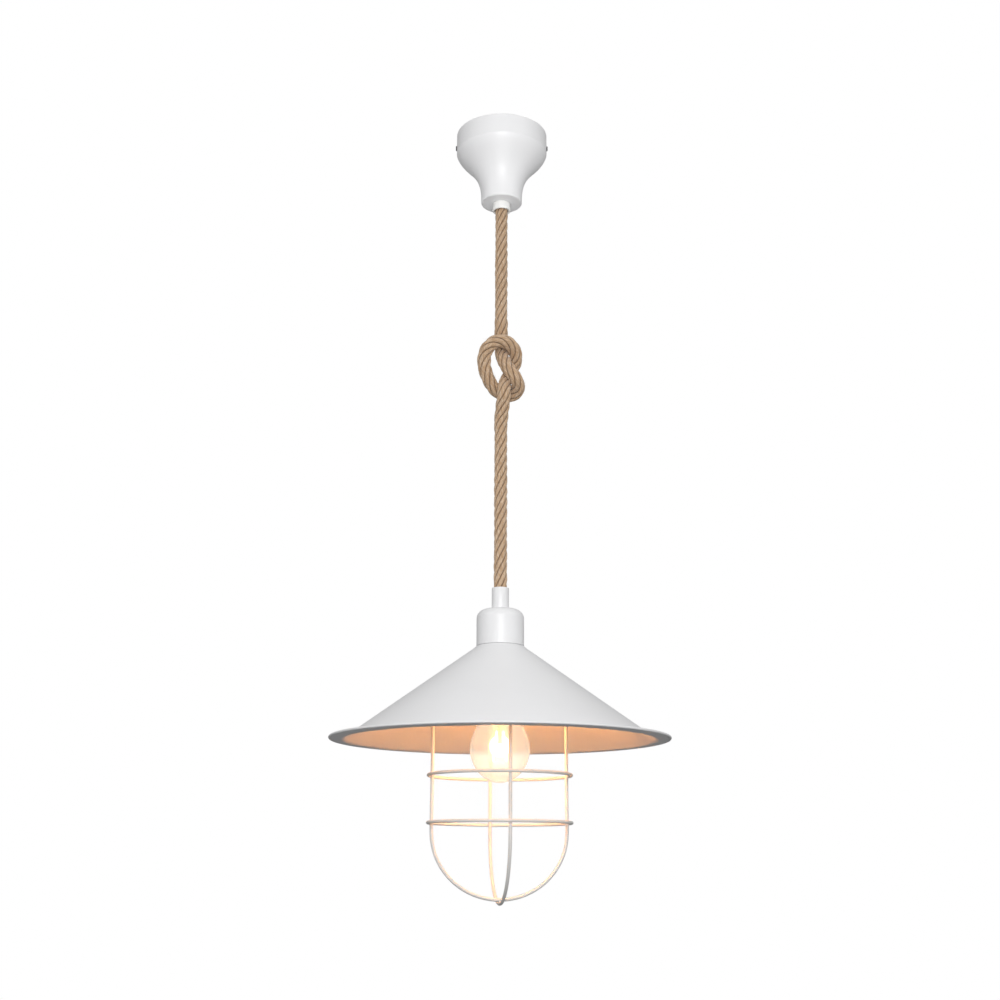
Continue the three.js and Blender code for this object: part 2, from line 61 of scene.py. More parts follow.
class Body(Enum):
    """Moving parts of the lantern that pieces ride on."""

    MOUNT = "ceiling_mount"
    LEAD = "rope_lead"
    DROP = "rope_drop"
    HEAD = "lamp_head"
    CARRIER = "bulb_carrier"
    BULB = "bulb"


# ---------------------------------------------------------------- finishes


def linear(code: str) -> tuple[float, float, float, float]:
    """Turn an sRGB hex colour to linear light.

    Args:
        code: colour as "#rrggbb".

    Returns:
        Linear red, green, blue and an alpha of 1. Each channel c goes to c / 12.92 when dark,
        otherwise to ((c + 0.055) / 1.055) to the power 2.4.
    """
    parts = [int(code[i : i + 2], 16) / 255 for i in (1, 3, 5)]
    light = [c / 12.92 if c <= 0.04045 else ((c + 0.055) / 1.055) ** 2.4 for c in parts]
    return (*light, 1.0)


def add_node(
    tree: bpy.types.NodeTree, kind: str, settings: dict | None = None, links: dict | None = None
) -> bpy.types.Node:
    """Add one node to a tree, with its settings and what feeds it.

    Args:
        tree: node tree that takes the node.
        kind: Blender's name of the node type.
        settings: node options by attribute name, and input values by socket name or number.
        links: sockets that feed the node, by input name or number.

    Returns:
        The new node.
    """
    node = tree.nodes.new(kind)
    for key, value in (settings or {}).items():
        if isinstance(key, str) and hasattr(node, key):
            setattr(node, key, value)
        else:
            node.inputs[key].default_value = value
    for key, socket in (links or {}).items():
        tree.links.new(socket, node.inputs[key])
    return node


@dataclass(frozen=True)
class Finish:
    """What every finish has: a name, two close colours, a roughness and how metallic it is."""

    name: str
    colour: str
    second: str
    roughness: float
    metallic: float = 0.0
    ior: float = 1.5

    def material(self) -> bpy.types.Material:
        """Return this finish's material, made on first use.

        Returns:
            The material.
        """
        known = bpy.data.materials.get(self.name)
        if known:
            return known
        made = bpy.data.materials.new(self.name)
        made.use_nodes = True
        tree = made.node_tree
        tree.nodes.clear()
        base = {"Roughness": self.roughness, "Metallic": self.metallic, "IOR": self.ior}
        shader = add_node(tree, "ShaderNodeBsdfPrincipled", base)
        add_node(tree, "ShaderNodeOutputMaterial", links={"Surface": shader.outputs[0]})
        made.diffuse_color = linear(self.colour)
        self.dress(tree, shader)
        return made

    def dress(self, tree: bpy.types.NodeTree, shader: bpy.types.Node) -> None:
        """Feed the shader with this finish's pattern.

        Args:
            tree: the material's node tree.
            shader: its Principled node.
        """
        raise NotImplementedError

    def blotches(self, tree: bpy.types.NodeTree, place: bpy.types.NodeSocket, size: float) -> bpy.types.Node:
        """Mix the two colours in soft clouds.

        Args:
            tree: the material's node tree.
            place: coordinates in metres.
            size: width of a cloud in millimetres.

        Returns:
            The colour mix node; its output 2 is the colour.
        """
        clouds = {"Scale": 1 / (size * MM), "Detail": 3.0, "Roughness": 0.55}
        cloud = add_node(tree, "ShaderNodeTexNoise", clouds, {"Vector": place})
        return add_node(
            tree,
            "ShaderNodeMix",
            {"data_type": "RGBA", 6: linear(self.colour), 7: linear(self.second)},
            {0: cloud.outputs[0]},
        )


@dataclass(frozen=True)
class PowderCoat(Finish):
    """White powder coat, baked on sheet or wire: a satin skin with a faint orange peel."""

    peel: float = 2.4  # width of one dimple, drawn about twice as coarse as the real one so that it shows
    spin: float = 0.0  # spacing of the spinning lines that show through on a spun shape, 0 for none

    def dress(self, tree: bpy.types.NodeTree, shader: bpy.types.Node) -> None:
        """Clouded white, dimples in the bump, a roughness that wanders a little, and spinning lines.

        Args:
            tree: the material's node tree.
            shader: its Principled node.
        """
        place = add_node(tree, "ShaderNodeTexCoord").outputs["Object"]
        colour = self.blotches(tree, place, 70)
        tree.links.new(colour.outputs[2], shader.inputs["Base Color"])
        patches = {"Scale": 1 / (25 * MM), "Detail": 2.0}
        haze = add_node(tree, "ShaderNodeTexNoise", patches, {"Vector": place})
        gloss = add_node(
            tree,
            "ShaderNodeMapRange",
            {"To Min": self.roughness - 0.05, "To Max": self.roughness + 0.06},
            {"Value": haze.outputs[0]},
        )
        tree.links.new(gloss.outputs[0], shader.inputs["Roughness"])
        dimples = {"Scale": 1 / (self.peel * MM), "Detail": 1.5}
        peel = add_node(tree, "ShaderNodeTexNoise", dimples, {"Vector": place})
        bump = add_node(
            tree, "ShaderNodeBump", {"Strength": 0.35, "Distance": 0.02 * MM}, {"Height": peel.outputs[0]}
        )
        if self.spin:
            # the wave texture has 20 radians to a unit at scale 1
            rings = add_node(
                tree,
                "ShaderNodeTexWave",
                {
                    "wave_type": "RINGS",
                    "rings_direction": "Z",
                    "Scale": TURN / (20 * self.spin * MM),
                    "Distortion": 0.6,
                    "Detail": 2.0,
                },
                {"Vector": place},
            )
            bump = add_node(
                tree,
                "ShaderNodeBump",
                {"Strength": 0.5, "Distance": 0.012 * MM},
                {"Height": rings.outputs["Fac"], "Normal": bump.outputs[0]},
            )
        tree.links.new(bump.outputs[0], shader.inputs["Normal"])


@dataclass(frozen=True)
class Metal(Finish):
    """Bare or plated metal: fine scratches along one way, and a dulled film in patches."""

    metallic: float = 1.0
    grain: float = 0.35  # width of a scratch, drawn coarse enough to show

    def dress(self, tree: bpy.types.NodeTree, shader: bpy.types.Node) -> None:
        """Clouded metal colour, patchy roughness, and a scratched bump drawn out along X.

        Args:
            tree: the material's node tree.
            shader: its Principled node.
        """
        place = add_node(tree, "ShaderNodeTexCoord").outputs["Object"]
        colour = self.blotches(tree, place, 9)
        tree.links.new(colour.outputs[2], shader.inputs["Base Color"])
        patches = {"Scale": 1 / (5 * MM), "Detail": 3.0}
        film = add_node(tree, "ShaderNodeTexNoise", patches, {"Vector": place})
        gloss = add_node(
            tree,
            "ShaderNodeMapRange",
            {"To Min": self.roughness - 0.07, "To Max": self.roughness + 0.12},
            {"Value": film.outputs[0]},
        )
        tree.links.new(gloss.outputs[0], shader.inputs["Roughness"])
        drawn = add_node(tree, "ShaderNodeMapping", {"Scale": (0.08, 1.0, 1.0)}, {"Vector": place})
        scratches = {"Scale": 1 / (self.grain * MM), "Detail": 2.0}
        lines = add_node(tree, "ShaderNodeTexNoise", scratches, {"Vector": drawn.outputs[0]})
        bump = add_node(
            tree, "ShaderNodeBump", {"Strength": 0.3, "Distance": 0.02 * MM}, {"Height": lines.outputs[0]}
        )
        tree.links.new(bump.outputs[0], shader.inputs["Normal"])


@dataclass(frozen=True)
class Moulded(Finish):
    """Moulded plastic or bakelite: an even skin with a fine spark-eroded grain."""

    grain: float = 0.9  # width of one pit of the mould's grain, drawn coarse enough to show

    def dress(self, tree: bpy.types.NodeTree, shader: bpy.types.Node) -> None:
        """Slow flow marks in the colour, and grain in both roughness and bump.

        Args:
            tree: the material's node tree.
            shader: its Principled node.
        """
        place = add_node(tree, "ShaderNodeTexCoord").outputs["Object"]
        colour = self.blotches(tree, place, 14)
        tree.links.new(colour.outputs[2], shader.inputs["Base Color"])
        pits = {"Scale": 1 / (self.grain * MM), "Detail": 2.0}
        grain = add_node(tree, "ShaderNodeTexNoise", pits, {"Vector": place})
        gloss = add_node(
            tree,
            "ShaderNodeMapRange",
            {"To Min": self.roughness - 0.06, "To Max": self.roughness + 0.08},
            {"Value": grain.outputs[0]},
        )
        tree.links.new(gloss.outputs[0], shader.inputs["Roughness"])
        bump = add_node(
            tree, "ShaderNodeBump", {"Strength": 0.3, "Distance": 0.02 * MM}, {"Height": grain.outputs[0]}
        )
        tree.links.new(bump.outputs[0], shader.inputs["Normal"])


@dataclass(frozen=True)
class JuteFibre(Finish):
    """Laid jute: straw to brown fibres along each strand, painted shade between strands, with a dry fuzzy
    sheen.
    """

    # painted shade: the colour that stands for the shade falling in the hollows between strands
    painted_groove_shade: str = "#5e432b"
    pale: str = "#f2e2cc"

    def dress(self, tree: bpy.types.NodeTree, shader: bpy.types.Node) -> None:
        """Colour and bump follow the strands by the mesh's own attributes, in millimetres; the crown value
        paints shade into the hollows between strands.

        Args:
            tree: the material's node tree.
            shader: its Principled node.
        """
        fibre = add_node(tree, "ShaderNodeAttribute", {"attribute_name": "fibre_place"}).outputs["Vector"]
        crown = add_node(tree, "ShaderNodeAttribute", {"attribute_name": "crown"}).outputs["Fac"]
        yarn = add_node(tree, "ShaderNodeMapping", {"Scale": (0.5, 0.5, 0.09)}, {"Vector": fibre})
        soft = {"Scale": 1.0, "Detail": 3.0, "Roughness": 0.6}
        yarns = add_node(tree, "ShaderNodeTexNoise", soft, {"Vector": yarn.outputs[0]})
        thread = add_node(tree, "ShaderNodeMapping", {"Scale": (2.6, 2.6, 0.16)}, {"Vector": fibre})
        crisp = {"Scale": 1.0, "Detail": 4.0, "Roughness": 0.7}
        threads = add_node(tree, "ShaderNodeTexNoise", crisp, {"Vector": thread.outputs[0]})
        body = add_node(
            tree,
            "ShaderNodeMix",
            {"data_type": "RGBA", 6: linear(self.second), 7: linear(self.colour)},
            {0: yarns.outputs[0]},
        )
        streaks = {"From Min": 0.48, "From Max": 0.68, "To Max": 0.85}
        light = add_node(tree, "ShaderNodeMapRange", streaks, {"Value": threads.outputs[0]})
        streaked = add_node(
            tree,
            "ShaderNodeMix",
            {"data_type": "RGBA", 7: linear(self.pale)},
            {0: light.outputs[0], 6: body.outputs[2]},
        )
        # painted shade: where the crown value is low, between strands, the colour goes over to the painted
        # groove shade
        rise = {"From Min": 0.0, "From Max": 0.55}
        groove_shade_mask = add_node(tree, "ShaderNodeMapRange", rise, {"Value": crown})
        shaded = add_node(
            tree,
            "ShaderNodeMix",
            {"data_type": "RGBA", 6: linear(self.painted_groove_shade)},
            {0: groove_shade_mask.outputs[0], 7: streaked.outputs[2]},
        )
        tree.links.new(shaded.outputs[2], shader.inputs["Base Color"])
        shader.inputs["Sheen Weight"].default_value = 0.25
        shader.inputs["Sheen Roughness"].default_value = 0.5
        dry = add_node(
            tree,
            "ShaderNodeMapRange",
            {"To Min": self.roughness - 0.12, "To Max": self.roughness + 0.05},
            {"Value": threads.outputs[0]},
        )
        tree.links.new(dry.outputs[0], shader.inputs["Roughness"])
        bump = add_node(
            tree, "ShaderNodeBump", {"Strength": 0.8, "Distance": 0.3 * MM}, {"Height": threads.outputs[0]}
        )
        tree.links.new(bump.outputs[0], shader.inputs["Normal"])


@dataclass(frozen=True)
class BlownGlass(Finish):
    """Blown soda-lime glass with a thin warm coat inside: it glows faintly and blurs what is behind."""

    haze: float = 0.03
    glow: float = 0.0  # light that the coat scatters towards the eye

    def dress(self, tree: bpy.types.NodeTree, shader: bpy.types.Node) -> None:
        """Tint by how edge-on the wall is, faint haze, and the slow waviness of a blown wall.

        Args:
            tree: the material's node tree.
            shader: its Principled node.
        """
        place = add_node(tree, "ShaderNodeTexCoord").outputs["Object"]
        shader.inputs["Transmission Weight"].default_value = 1.0
        facing = add_node(tree, "ShaderNodeLayerWeight", {"Blend": 0.35}).outputs["Facing"]
        tint = add_node(
            tree,
            "ShaderNodeMix",
            {"data_type": "RGBA", 6: linear(self.colour), 7: linear(self.second)},
            {0: facing},
        )
        tree.links.new(tint.outputs[2], shader.inputs["Base Color"])
        waves = {"Scale": 1 / (18 * MM), "Detail": 2.0}
        mist = add_node(tree, "ShaderNodeTexNoise", waves, {"Vector": place})
        ends = {"To Min": 0.4 * self.haze, "To Max": self.haze}
        gloss = add_node(tree, "ShaderNodeMapRange", ends, {"Value": mist.outputs[0]})
        tree.links.new(tint.outputs[2], shader.inputs["Emission Color"])
        shader.inputs["Emission Strength"].default_value = self.glow
        tree.links.new(gloss.outputs[0], shader.inputs["Roughness"])
        bump = add_node(
            tree, "ShaderNodeBump", {"Strength": 0.15, "Distance": 0.2 * MM}, {"Height": mist.outputs[0]}
        )
        tree.links.new(bump.outputs[0], shader.inputs["Normal"])


@dataclass(frozen=True)
class Phosphor(Finish):
    """Warm phosphor-coated filament: a glowing strip, a little brighter at each chip along it."""

    glow: float = 6.0
    chip: float = 1.6  # spacing of the chips along the strip

    def dress(self, tree: bpy.types.NodeTree, shader: bpy.types.Node) -> None:
        """Yellow coat whose glow rises and falls at every chip.

        Args:
            tree: the material's node tree.
            shader: its Principled node.
        """
        place = add_node(tree, "ShaderNodeTexCoord").outputs["Object"]
        chips = add_node(
            tree,
            "ShaderNodeTexWave",
            {"bands_direction": "Z", "Scale": TURN / (20 * self.chip * MM)},
            {"Vector": place},
        )
        colour = add_node(
            tree,
            "ShaderNodeMix",
            {"data_type": "RGBA", 6: linear(self.colour), 7: linear(self.second)},
            {0: chips.outputs["Fac"]},
        )
        tree.links.new(colour.outputs[2], shader.inputs["Base Color"])
        tree.links.new(colour.outputs[2], shader.inputs["Emission Color"])
        shader.inputs["Emission Strength"].default_value = self.glow


# spun mild steel under white powder coat: soft light-grey sheen, near invisible rings from spinning
SPUN_WHITE = PowderCoat("white_powder_coat_on_spun_steel", "#efeff0", "#e9e9ea", 0.36, spin=5.0)
# drawn steel wire under the same coat: rounder highlights, a little thicker at the welds
WIRE_WHITE = PowderCoat("white_powder_coat_on_steel_wire", "#ecebe8", "#e4e2de", 0.38, peel=1.8)
# moulded polyamide of the cord grip: the whitest piece, slightly translucent looking and even
NYLON = Moulded("white_moulded_polyamide", "#f6f6f4", "#efefec", 0.42, ior=1.53)
# compression-moulded bakelite: near black, half gloss
BAKELITE = Moulded("black_moulded_bakelite", "#232221", "#2c2a28", 0.32, ior=1.6)
# zinc-plated pressed steel: pale blue-grey with a dulled film
ZINC = Metal("zinc_plated_pressed_steel", "#b9bdc2", "#a3a8ad", 0.34)
# blackened screw steel: dark, oily half gloss
BLACK_STEEL = Metal("blackened_turned_steel", "#4a4a4c", "#3a3a3c", 0.36)
# turned brass of contacts and screws: warm yellow under a soft film
BRASS = Metal("turned_brass", "#c9a55c", "#b58f49", 0.28)
# nickel-plated brass of the bulb's cap: warm silver with fine scratches
NICKEL = Metal("nickel_plated_brass", "#c8c6c0", "#b4b1a9", 0.24)
# six-strand laid jute: dull straw fibres, with painted brown shade in the hollows between the strands
JUTE = JuteFibre("laid_natural_jute", "#d3b08c", "#94724f", 0.92)
# extruded PVC insulation of the cores: smooth and even, with a faint gloss
PVC_BROWN = Moulded("brown_extruded_pvc", "#6f4327", "#7d4f31", 0.4)
PVC_BLUE = Moulded("blue_extruded_pvc", "#2d66b1", "#3a74bd", 0.4)
PVC_EARTH = Moulded("green_extruded_pvc", "#8fb52c", "#c9c233", 0.4)
PVC_WHITE = Moulded("white_extruded_pvc", "#eeeeec", "#e4e4e1", 0.42)
# blown envelope with a warm powder coat inside: an even cream glow that blurs the strips behind it;
# pressed lead-glass stem: a warm, slightly wavy rod
BULB_GLASS = BlownGlass("coated_blown_soda_glass", "#ede7de", "#ead8be", 0.0, ior=1.45, haze=0.2, glow=0.15)
STEM_GLASS = BlownGlass("pressed_stem_glass", "#fff6e6", "#ffdfae", 0.0, ior=1.5, haze=0.25)
# black glass bead of the cap: deep black with a sharp gleam
BEAD_GLASS = Moulded("black_vitrite_glass", "#1b1c22", "#25262c", 0.12, ior=1.6)
# phosphor-coated filament strip: gives its own warm yellow light
GLOW = Phosphor("warm_phosphor_filament", "#ffc278", "#ffdca8", 0.5)


# ---------------------------------------------------------------- shapes


def grid_quads(rows: int, columns: int, closed: bool) -> np.ndarray:
    """Corner numbers of a grid's quads, whose rows close on themselves.

    Quad (i, j) joins row i to row i + 1 and column j to column j + 1, counted modulo the columns, and
    modulo the rows too where the grid is closed both ways.

    Args:
        rows: number of rows of points.
        columns: number of points in a row.
        closed: whether the last row joins the first.

    Returns:
        Whole numbers of shape (quads, 4).
    """
    i, j = np.meshgrid(np.arange(rows if closed else rows - 1), np.arange(columns), indexing="ij")
    down, right = (i + 1) % rows, (j + 1) % columns
    corners = [i * columns + j, i * columns + right, down * columns + right, down * columns + j]
    return np.stack(corners, -1).reshape(-1, 4)


def softened(corners: list, radius: float, steps: int = 4, closed: bool = True) -> np.ndarray:
    """Round the corners of an outline.

    A corner P gives way to the points (1-w)^2 A + 2 w (1-w) P + w^2 C, where A and C lie on its two
    edges at the radius from P, or at 0.45 of the edge if that is nearer.

    Args:
        corners: outline as (r, z) pairs in millimetres.
        radius: rounding in millimetres.
        steps: points that take a corner's place.
        closed: whether the last corner joins the first; if not, both ends stay.

    Returns:
        The rounder outline, of shape (points, 2).
    """
    points = np.asarray(corners, float)
    back, on = np.roll(points, 1, 0) - points, np.roll(points, -1, 0) - points
    far_back, far_on = (np.linalg.norm(v, axis=1, keepdims=True) for v in (back, on))
    trim = np.minimum(radius, 0.45 * np.minimum(far_back, far_on))
    start, end = points + back / far_back * trim, points + on / far_on * trim
    w = np.linspace(0, 1, steps)[None, :, None]
    round_corner = (1 - w) ** 2 * start[:, None] + 2 * w * (1 - w) * points[:, None] + w**2 * end[:, None]
    if closed:
        return round_corner.reshape(-1, 2)
    return np.concatenate([points[:1], round_corner[1:-1].reshape(-1, 2), points[-1:]])


def bezier(p0: tuple, p1: tuple, p2: tuple, p3: tuple, steps: int) -> np.ndarray:
    """Cubic Bezier curve from p0 to p3, pulled towards p1 and p2.

    Args:
        p0: start.
        p1: first handle.
        p2: second handle.
        p3: end.
        steps: number of points.

    Returns:
        Points of shape (steps, 2): the four points weighed by the Bernstein polynomials of degree 3.
    """
    t = np.linspace(0, 1, steps)[:, None]
    a, b, c, d = (np.asarray(p, float) for p in (p0, p1, p2, p3))
    return (1 - t) ** 3 * a + 3 * t * (1 - t) ** 2 * b + 3 * t**2 * (1 - t) * c + t**3 * d


def arc(centre: tuple, radii: tuple, start: float, end: float, steps: int) -> np.ndarray:
    """Stretch of an ellipse: (centre r + a cos t, centre z + b sin t) for t from start to end, in degrees.

    Args:
        centre: its middle as (r, z).
        radii: its half axes a and b.
        start: first angle.
        end: last angle.
        steps: number of points.

    Returns:
        Points of shape (steps, 2).
    """
    t = np.radians(np.linspace(start, end, steps))
    return np.stack([centre[0] + radii[0] * np.cos(t), centre[1] + radii[1] * np.sin(t)], -1)


def thickened(outline: np.ndarray, wall: float) -> np.ndarray:
    """Close a sheet's outline with a parallel one: each point moves by the wall along its own normal.

    Args:
        outline: one face of the sheet as (r, z) points.
        wall: thickness; the new face is to the right of the outline's direction if positive.

    Returns:
        The outline followed by its parallel in reverse.
    """
    along = np.gradient(outline, axis=0)
    along /= np.linalg.norm(along, axis=1, keepdims=True)
    other = outline + wall * np.stack([along[:, 1], -along[:, 0]], -1)
    return np.concatenate([outline, other[::-1]])


def smooth_path(points: list, step: float) -> np.ndarray:
    """Centripetal Catmull-Rom curve through points, with its own points a fixed step apart.

    Between P1 and P2 it is the cubic whose end slopes are the Barry and Goldman ones for knots
    spaced by the square root of the distances, and the ends are carried on in a straight line.

    Args:
        points: points that the curve passes through, in millimetres.
        step: distance between the points of the result.

    Returns:
        Points of shape (n, 3).
    """
    inner = np.asarray(points, float)
    whole = np.concatenate([[2 * inner[0] - inner[1]], inner, [2 * inner[-1] - inner[-2]]])
    p0, p1, p2, p3 = whole[:-3], whole[1:-2], whole[2:-1], whole[3:]
    pairs = ((p0, p1), (p1, p2), (p2, p3))
    d0, d1, d2 = (np.sqrt(np.linalg.norm(b - a, axis=1, keepdims=True)) for a, b in pairs)
    slope1 = ((p1 - p0) / d0 - (p2 - p0) / (d0 + d1) + (p2 - p1) / d1) * d1
    slope2 = ((p2 - p1) / d1 - (p3 - p1) / (d1 + d2) + (p3 - p2) / d2) * d1
    t = np.linspace(0, 1, 60, endpoint=False)[None, :, None]
    a, b, c, d = (v[:, None] for v in (p1, slope1, slope2, p2))
    dense = a + b * t + (3 * (d - a) - 2 * b - c) * t**2 + (2 * (a - d) + b + c) * t**3
    dense = np.concatenate([dense.reshape(-1, 3), inner[-1:]])
    run = np.concatenate([[0], np.cumsum(np.linalg.norm(np.diff(dense, axis=0), axis=1))])
    even = np.linspace(0, run[-1], max(2, round(run[-1] / step)) + 1)
    return np.stack([np.interp(even, run, dense[:, k]) for k in range(3)], -1)


@dataclass
class Shape:
    """Closed surface in millimetres: its points, its quads and its triangles."""

    points: np.ndarray
    quads: np.ndarray
    triangles: np.ndarray

    @classmethod
    def turned(cls, outline: np.ndarray, segments: int = 128) -> "Shape":
        """Turn an outline about Z: (r, z) goes to (r cos a, r sin a, z) at equal angles a.

        Args:
            outline: (r, z) points. It is closed into a hollow ring, unless it ends on the axis.
            segments: number of angles.

        Returns:
            The closed surface, with a point at each pole that lies on the axis.
        """
        a = np.linspace(0, TURN, segments, endpoint=False)
        solid = outline[0, 0] < 1e-6
        rows = outline[1:-1] if solid else outline
        r, z = rows[:, :1], rows[:, 1:]
        grid = np.stack([r * np.cos(a), r * np.sin(a), z + 0 * a], -1)
        if solid:
            return cls.tube(grid, [(0, 0, outline[0, 1]), (0, 0, outline[-1, 1])])
        return cls(grid.reshape(-1, 3), grid_quads(len(rows), segments, True), np.zeros((0, 3), int))

    @classmethod
    def tube(cls, grid: np.ndarray, poles: list | None = None) -> "Shape":
        """Close a tube with a fan of triangles at each end.

        Args:
            grid: rings of points, of shape (rings, around, 3).
            poles: middle point of each fan; the mean of the end ring if left out.

        Returns:
            The closed surface.
        """
        rings, around = grid.shape[:2]
        middle = grid[[0, -1]].mean(axis=1) if poles is None else np.asarray(poles, float)
        points = np.concatenate([grid.reshape(-1, 3), middle])
        j = np.arange(around)
        following, end = (j + 1) % around, (rings - 1) * around
        first = np.stack([np.full(around, rings * around), following, j], -1)
        last = np.stack([np.full(around, rings * around + 1), end + j, end + following], -1)
        return cls(points, grid_quads(rings, around, False), np.concatenate([first, last]))

    @classmethod
    def together(cls, parts: list["Shape"]) -> "Shape":
        """Put several closed surfaces in one shape, each with its corner numbers moved on."""
        shift = np.concatenate([[0], np.cumsum([len(p.points) for p in parts])])
        return cls(
            np.concatenate([p.points for p in parts]),
            np.concatenate([p.quads + s for p, s in zip(parts, shift)]),
            np.concatenate([p.triangles + s for p, s in zip(parts, shift)]),
        )

    def volume(self) -> float:
        """Return six times the signed volume, the sum of a . (b x c) over all its triangles.

        Returns:
            Six times the volume, negative if the faces point inwards.
        """
        halves = [self.quads[:, [0, 1, 2]], self.quads[:, [0, 2, 3]], self.triangles]
        a, b, c = np.moveaxis(self.points[np.concatenate(halves)], 1, 0)
        return float(np.einsum("ij,ij->i", a, np.cross(b, c)).sum())

    def place(self, name: str, finish: Finish, crease: float = 38.0) -> bpy.types.Object:
        """Make the Blender object, in metres, with its faces pointing outwards.

        Args:
            name: piece name.
            finish: what it is made of.
            crease: angle in degrees above which an edge stays sharp.

        Returns:
            The new object, at the origin.
        """
        turn = -1 if self.volume() < 0 else 1
        mesh = bpy.data.meshes.new(name)
        faces = self.quads[:, ::turn].tolist() + self.triangles[:, ::turn].tolist()
        mesh.from_pydata((self.points * MM).tolist(), [], faces)
        mesh.polygons.foreach_set("use_smooth", np.ones(len(faces), bool))
        mesh.set_sharp_from_angle(angle=math.radians(crease))
        mesh.materials.append(finish.material())
        made = bpy.data.objects.new(name, mesh)
        bpy.context.scene.collection.objects.link(made)
        return made


def rod_about(path: np.ndarray, radius: float | np.ndarray, side: tuple, around: int = 16) -> np.ndarray:
    """Round rod along a flat curve: each ring is path + r (cos a side + sin a (side x direction)).

    Args:
        path: points of the centre line, which stays in a plane.
        radius: radius of the rod, one number or one for each point.
        side: normal of the curve's plane.
        around: points in a ring.

    Returns:
        A grid of shape (points, around, 3).
    """
    along = np.gradient(path, axis=0)
    along /= np.linalg.norm(along, axis=1, keepdims=True)
    u = np.broadcast_to(np.asarray(side, float), along.shape)
    v = np.cross(along, u)
    a = np.linspace(0, TURN, around, endpoint=False)[None, :, None]
    r = np.broadcast_to(radius, len(path))[:, None, None]
    return path[:, None] + r * (np.cos(a) * u[:, None] + np.sin(a) * v[:, None])


def screw_head(centre: tuple, out: int, radius: float, height: float, slot: float, bottom: float) -> Shape:
    """Slotted pan head on an axis along X, with its shank: rings of a domed disc, dipped where the slot runs.

    The face stands at height h (1 - 0.35 (r/R)^6) above its seat, less the slot's depth of 0.45 h
    where |z| is under half the slot's width.

    Args:
        centre: middle of the head's seat, in millimetres.
        out: 1 if it points along +X, -1 along -X.
        radius: radius of the head.
        height: height of its crown.
        slot: width of the slot.
        bottom: length of the shank behind the seat.

    Returns:
        The closed screw.
    """
    a = np.linspace(0, TURN, 48, endpoint=False)
    r = np.concatenate([[0.62, 0.62, 1.0, 1.0], 1 - np.linspace(0.0, 1, 26)[1:-1] ** 1.2]) * radius
    face = height * (1 - (r / radius) ** 6) * 0.35 + height * 0.65
    x = np.where(np.arange(len(r)) == 0, -bottom, np.where(np.arange(len(r)) < 3, 0.0, face))
    y, z = r[:, None] * np.cos(a), r[:, None] * np.sin(a)
    cut = (np.abs(z) < slot / 2) & (np.arange(len(r))[:, None] > 3)
    depth = np.where(cut, 0.45 * height, 0.0)
    grid = np.stack([out * (x[:, None] - depth) + 0 * y, y, z], -1) + np.asarray(centre, float)
    poles = [grid[0].mean(0), grid[-1].mean(0)]
    return Shape.tube(grid, poles)


def ring_section(bore: float, radius: float, low: float, top: float) -> list:
    """Return a plain ring's section: out along its foot, up its outside and back in along its top."""
    return [(bore, low), (radius, low), (radius, top), (bore, top)]


def settle(made: bpy.types.Object, body: Body, slot: str, *nodes: str) -> bpy.types.Object:
    """Hide the nodes that a piece stands for, and let it ride on a body.

    Args:
        made: the piece.
        body: body that carries it.
        slot: not used.
        nodes: CAD nodes that it stands for.

    Returns:
        The piece.
    """
    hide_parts(*nodes)
    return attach(made, body.value)


# ---------------------------------------------------------------- the ceiling canopy


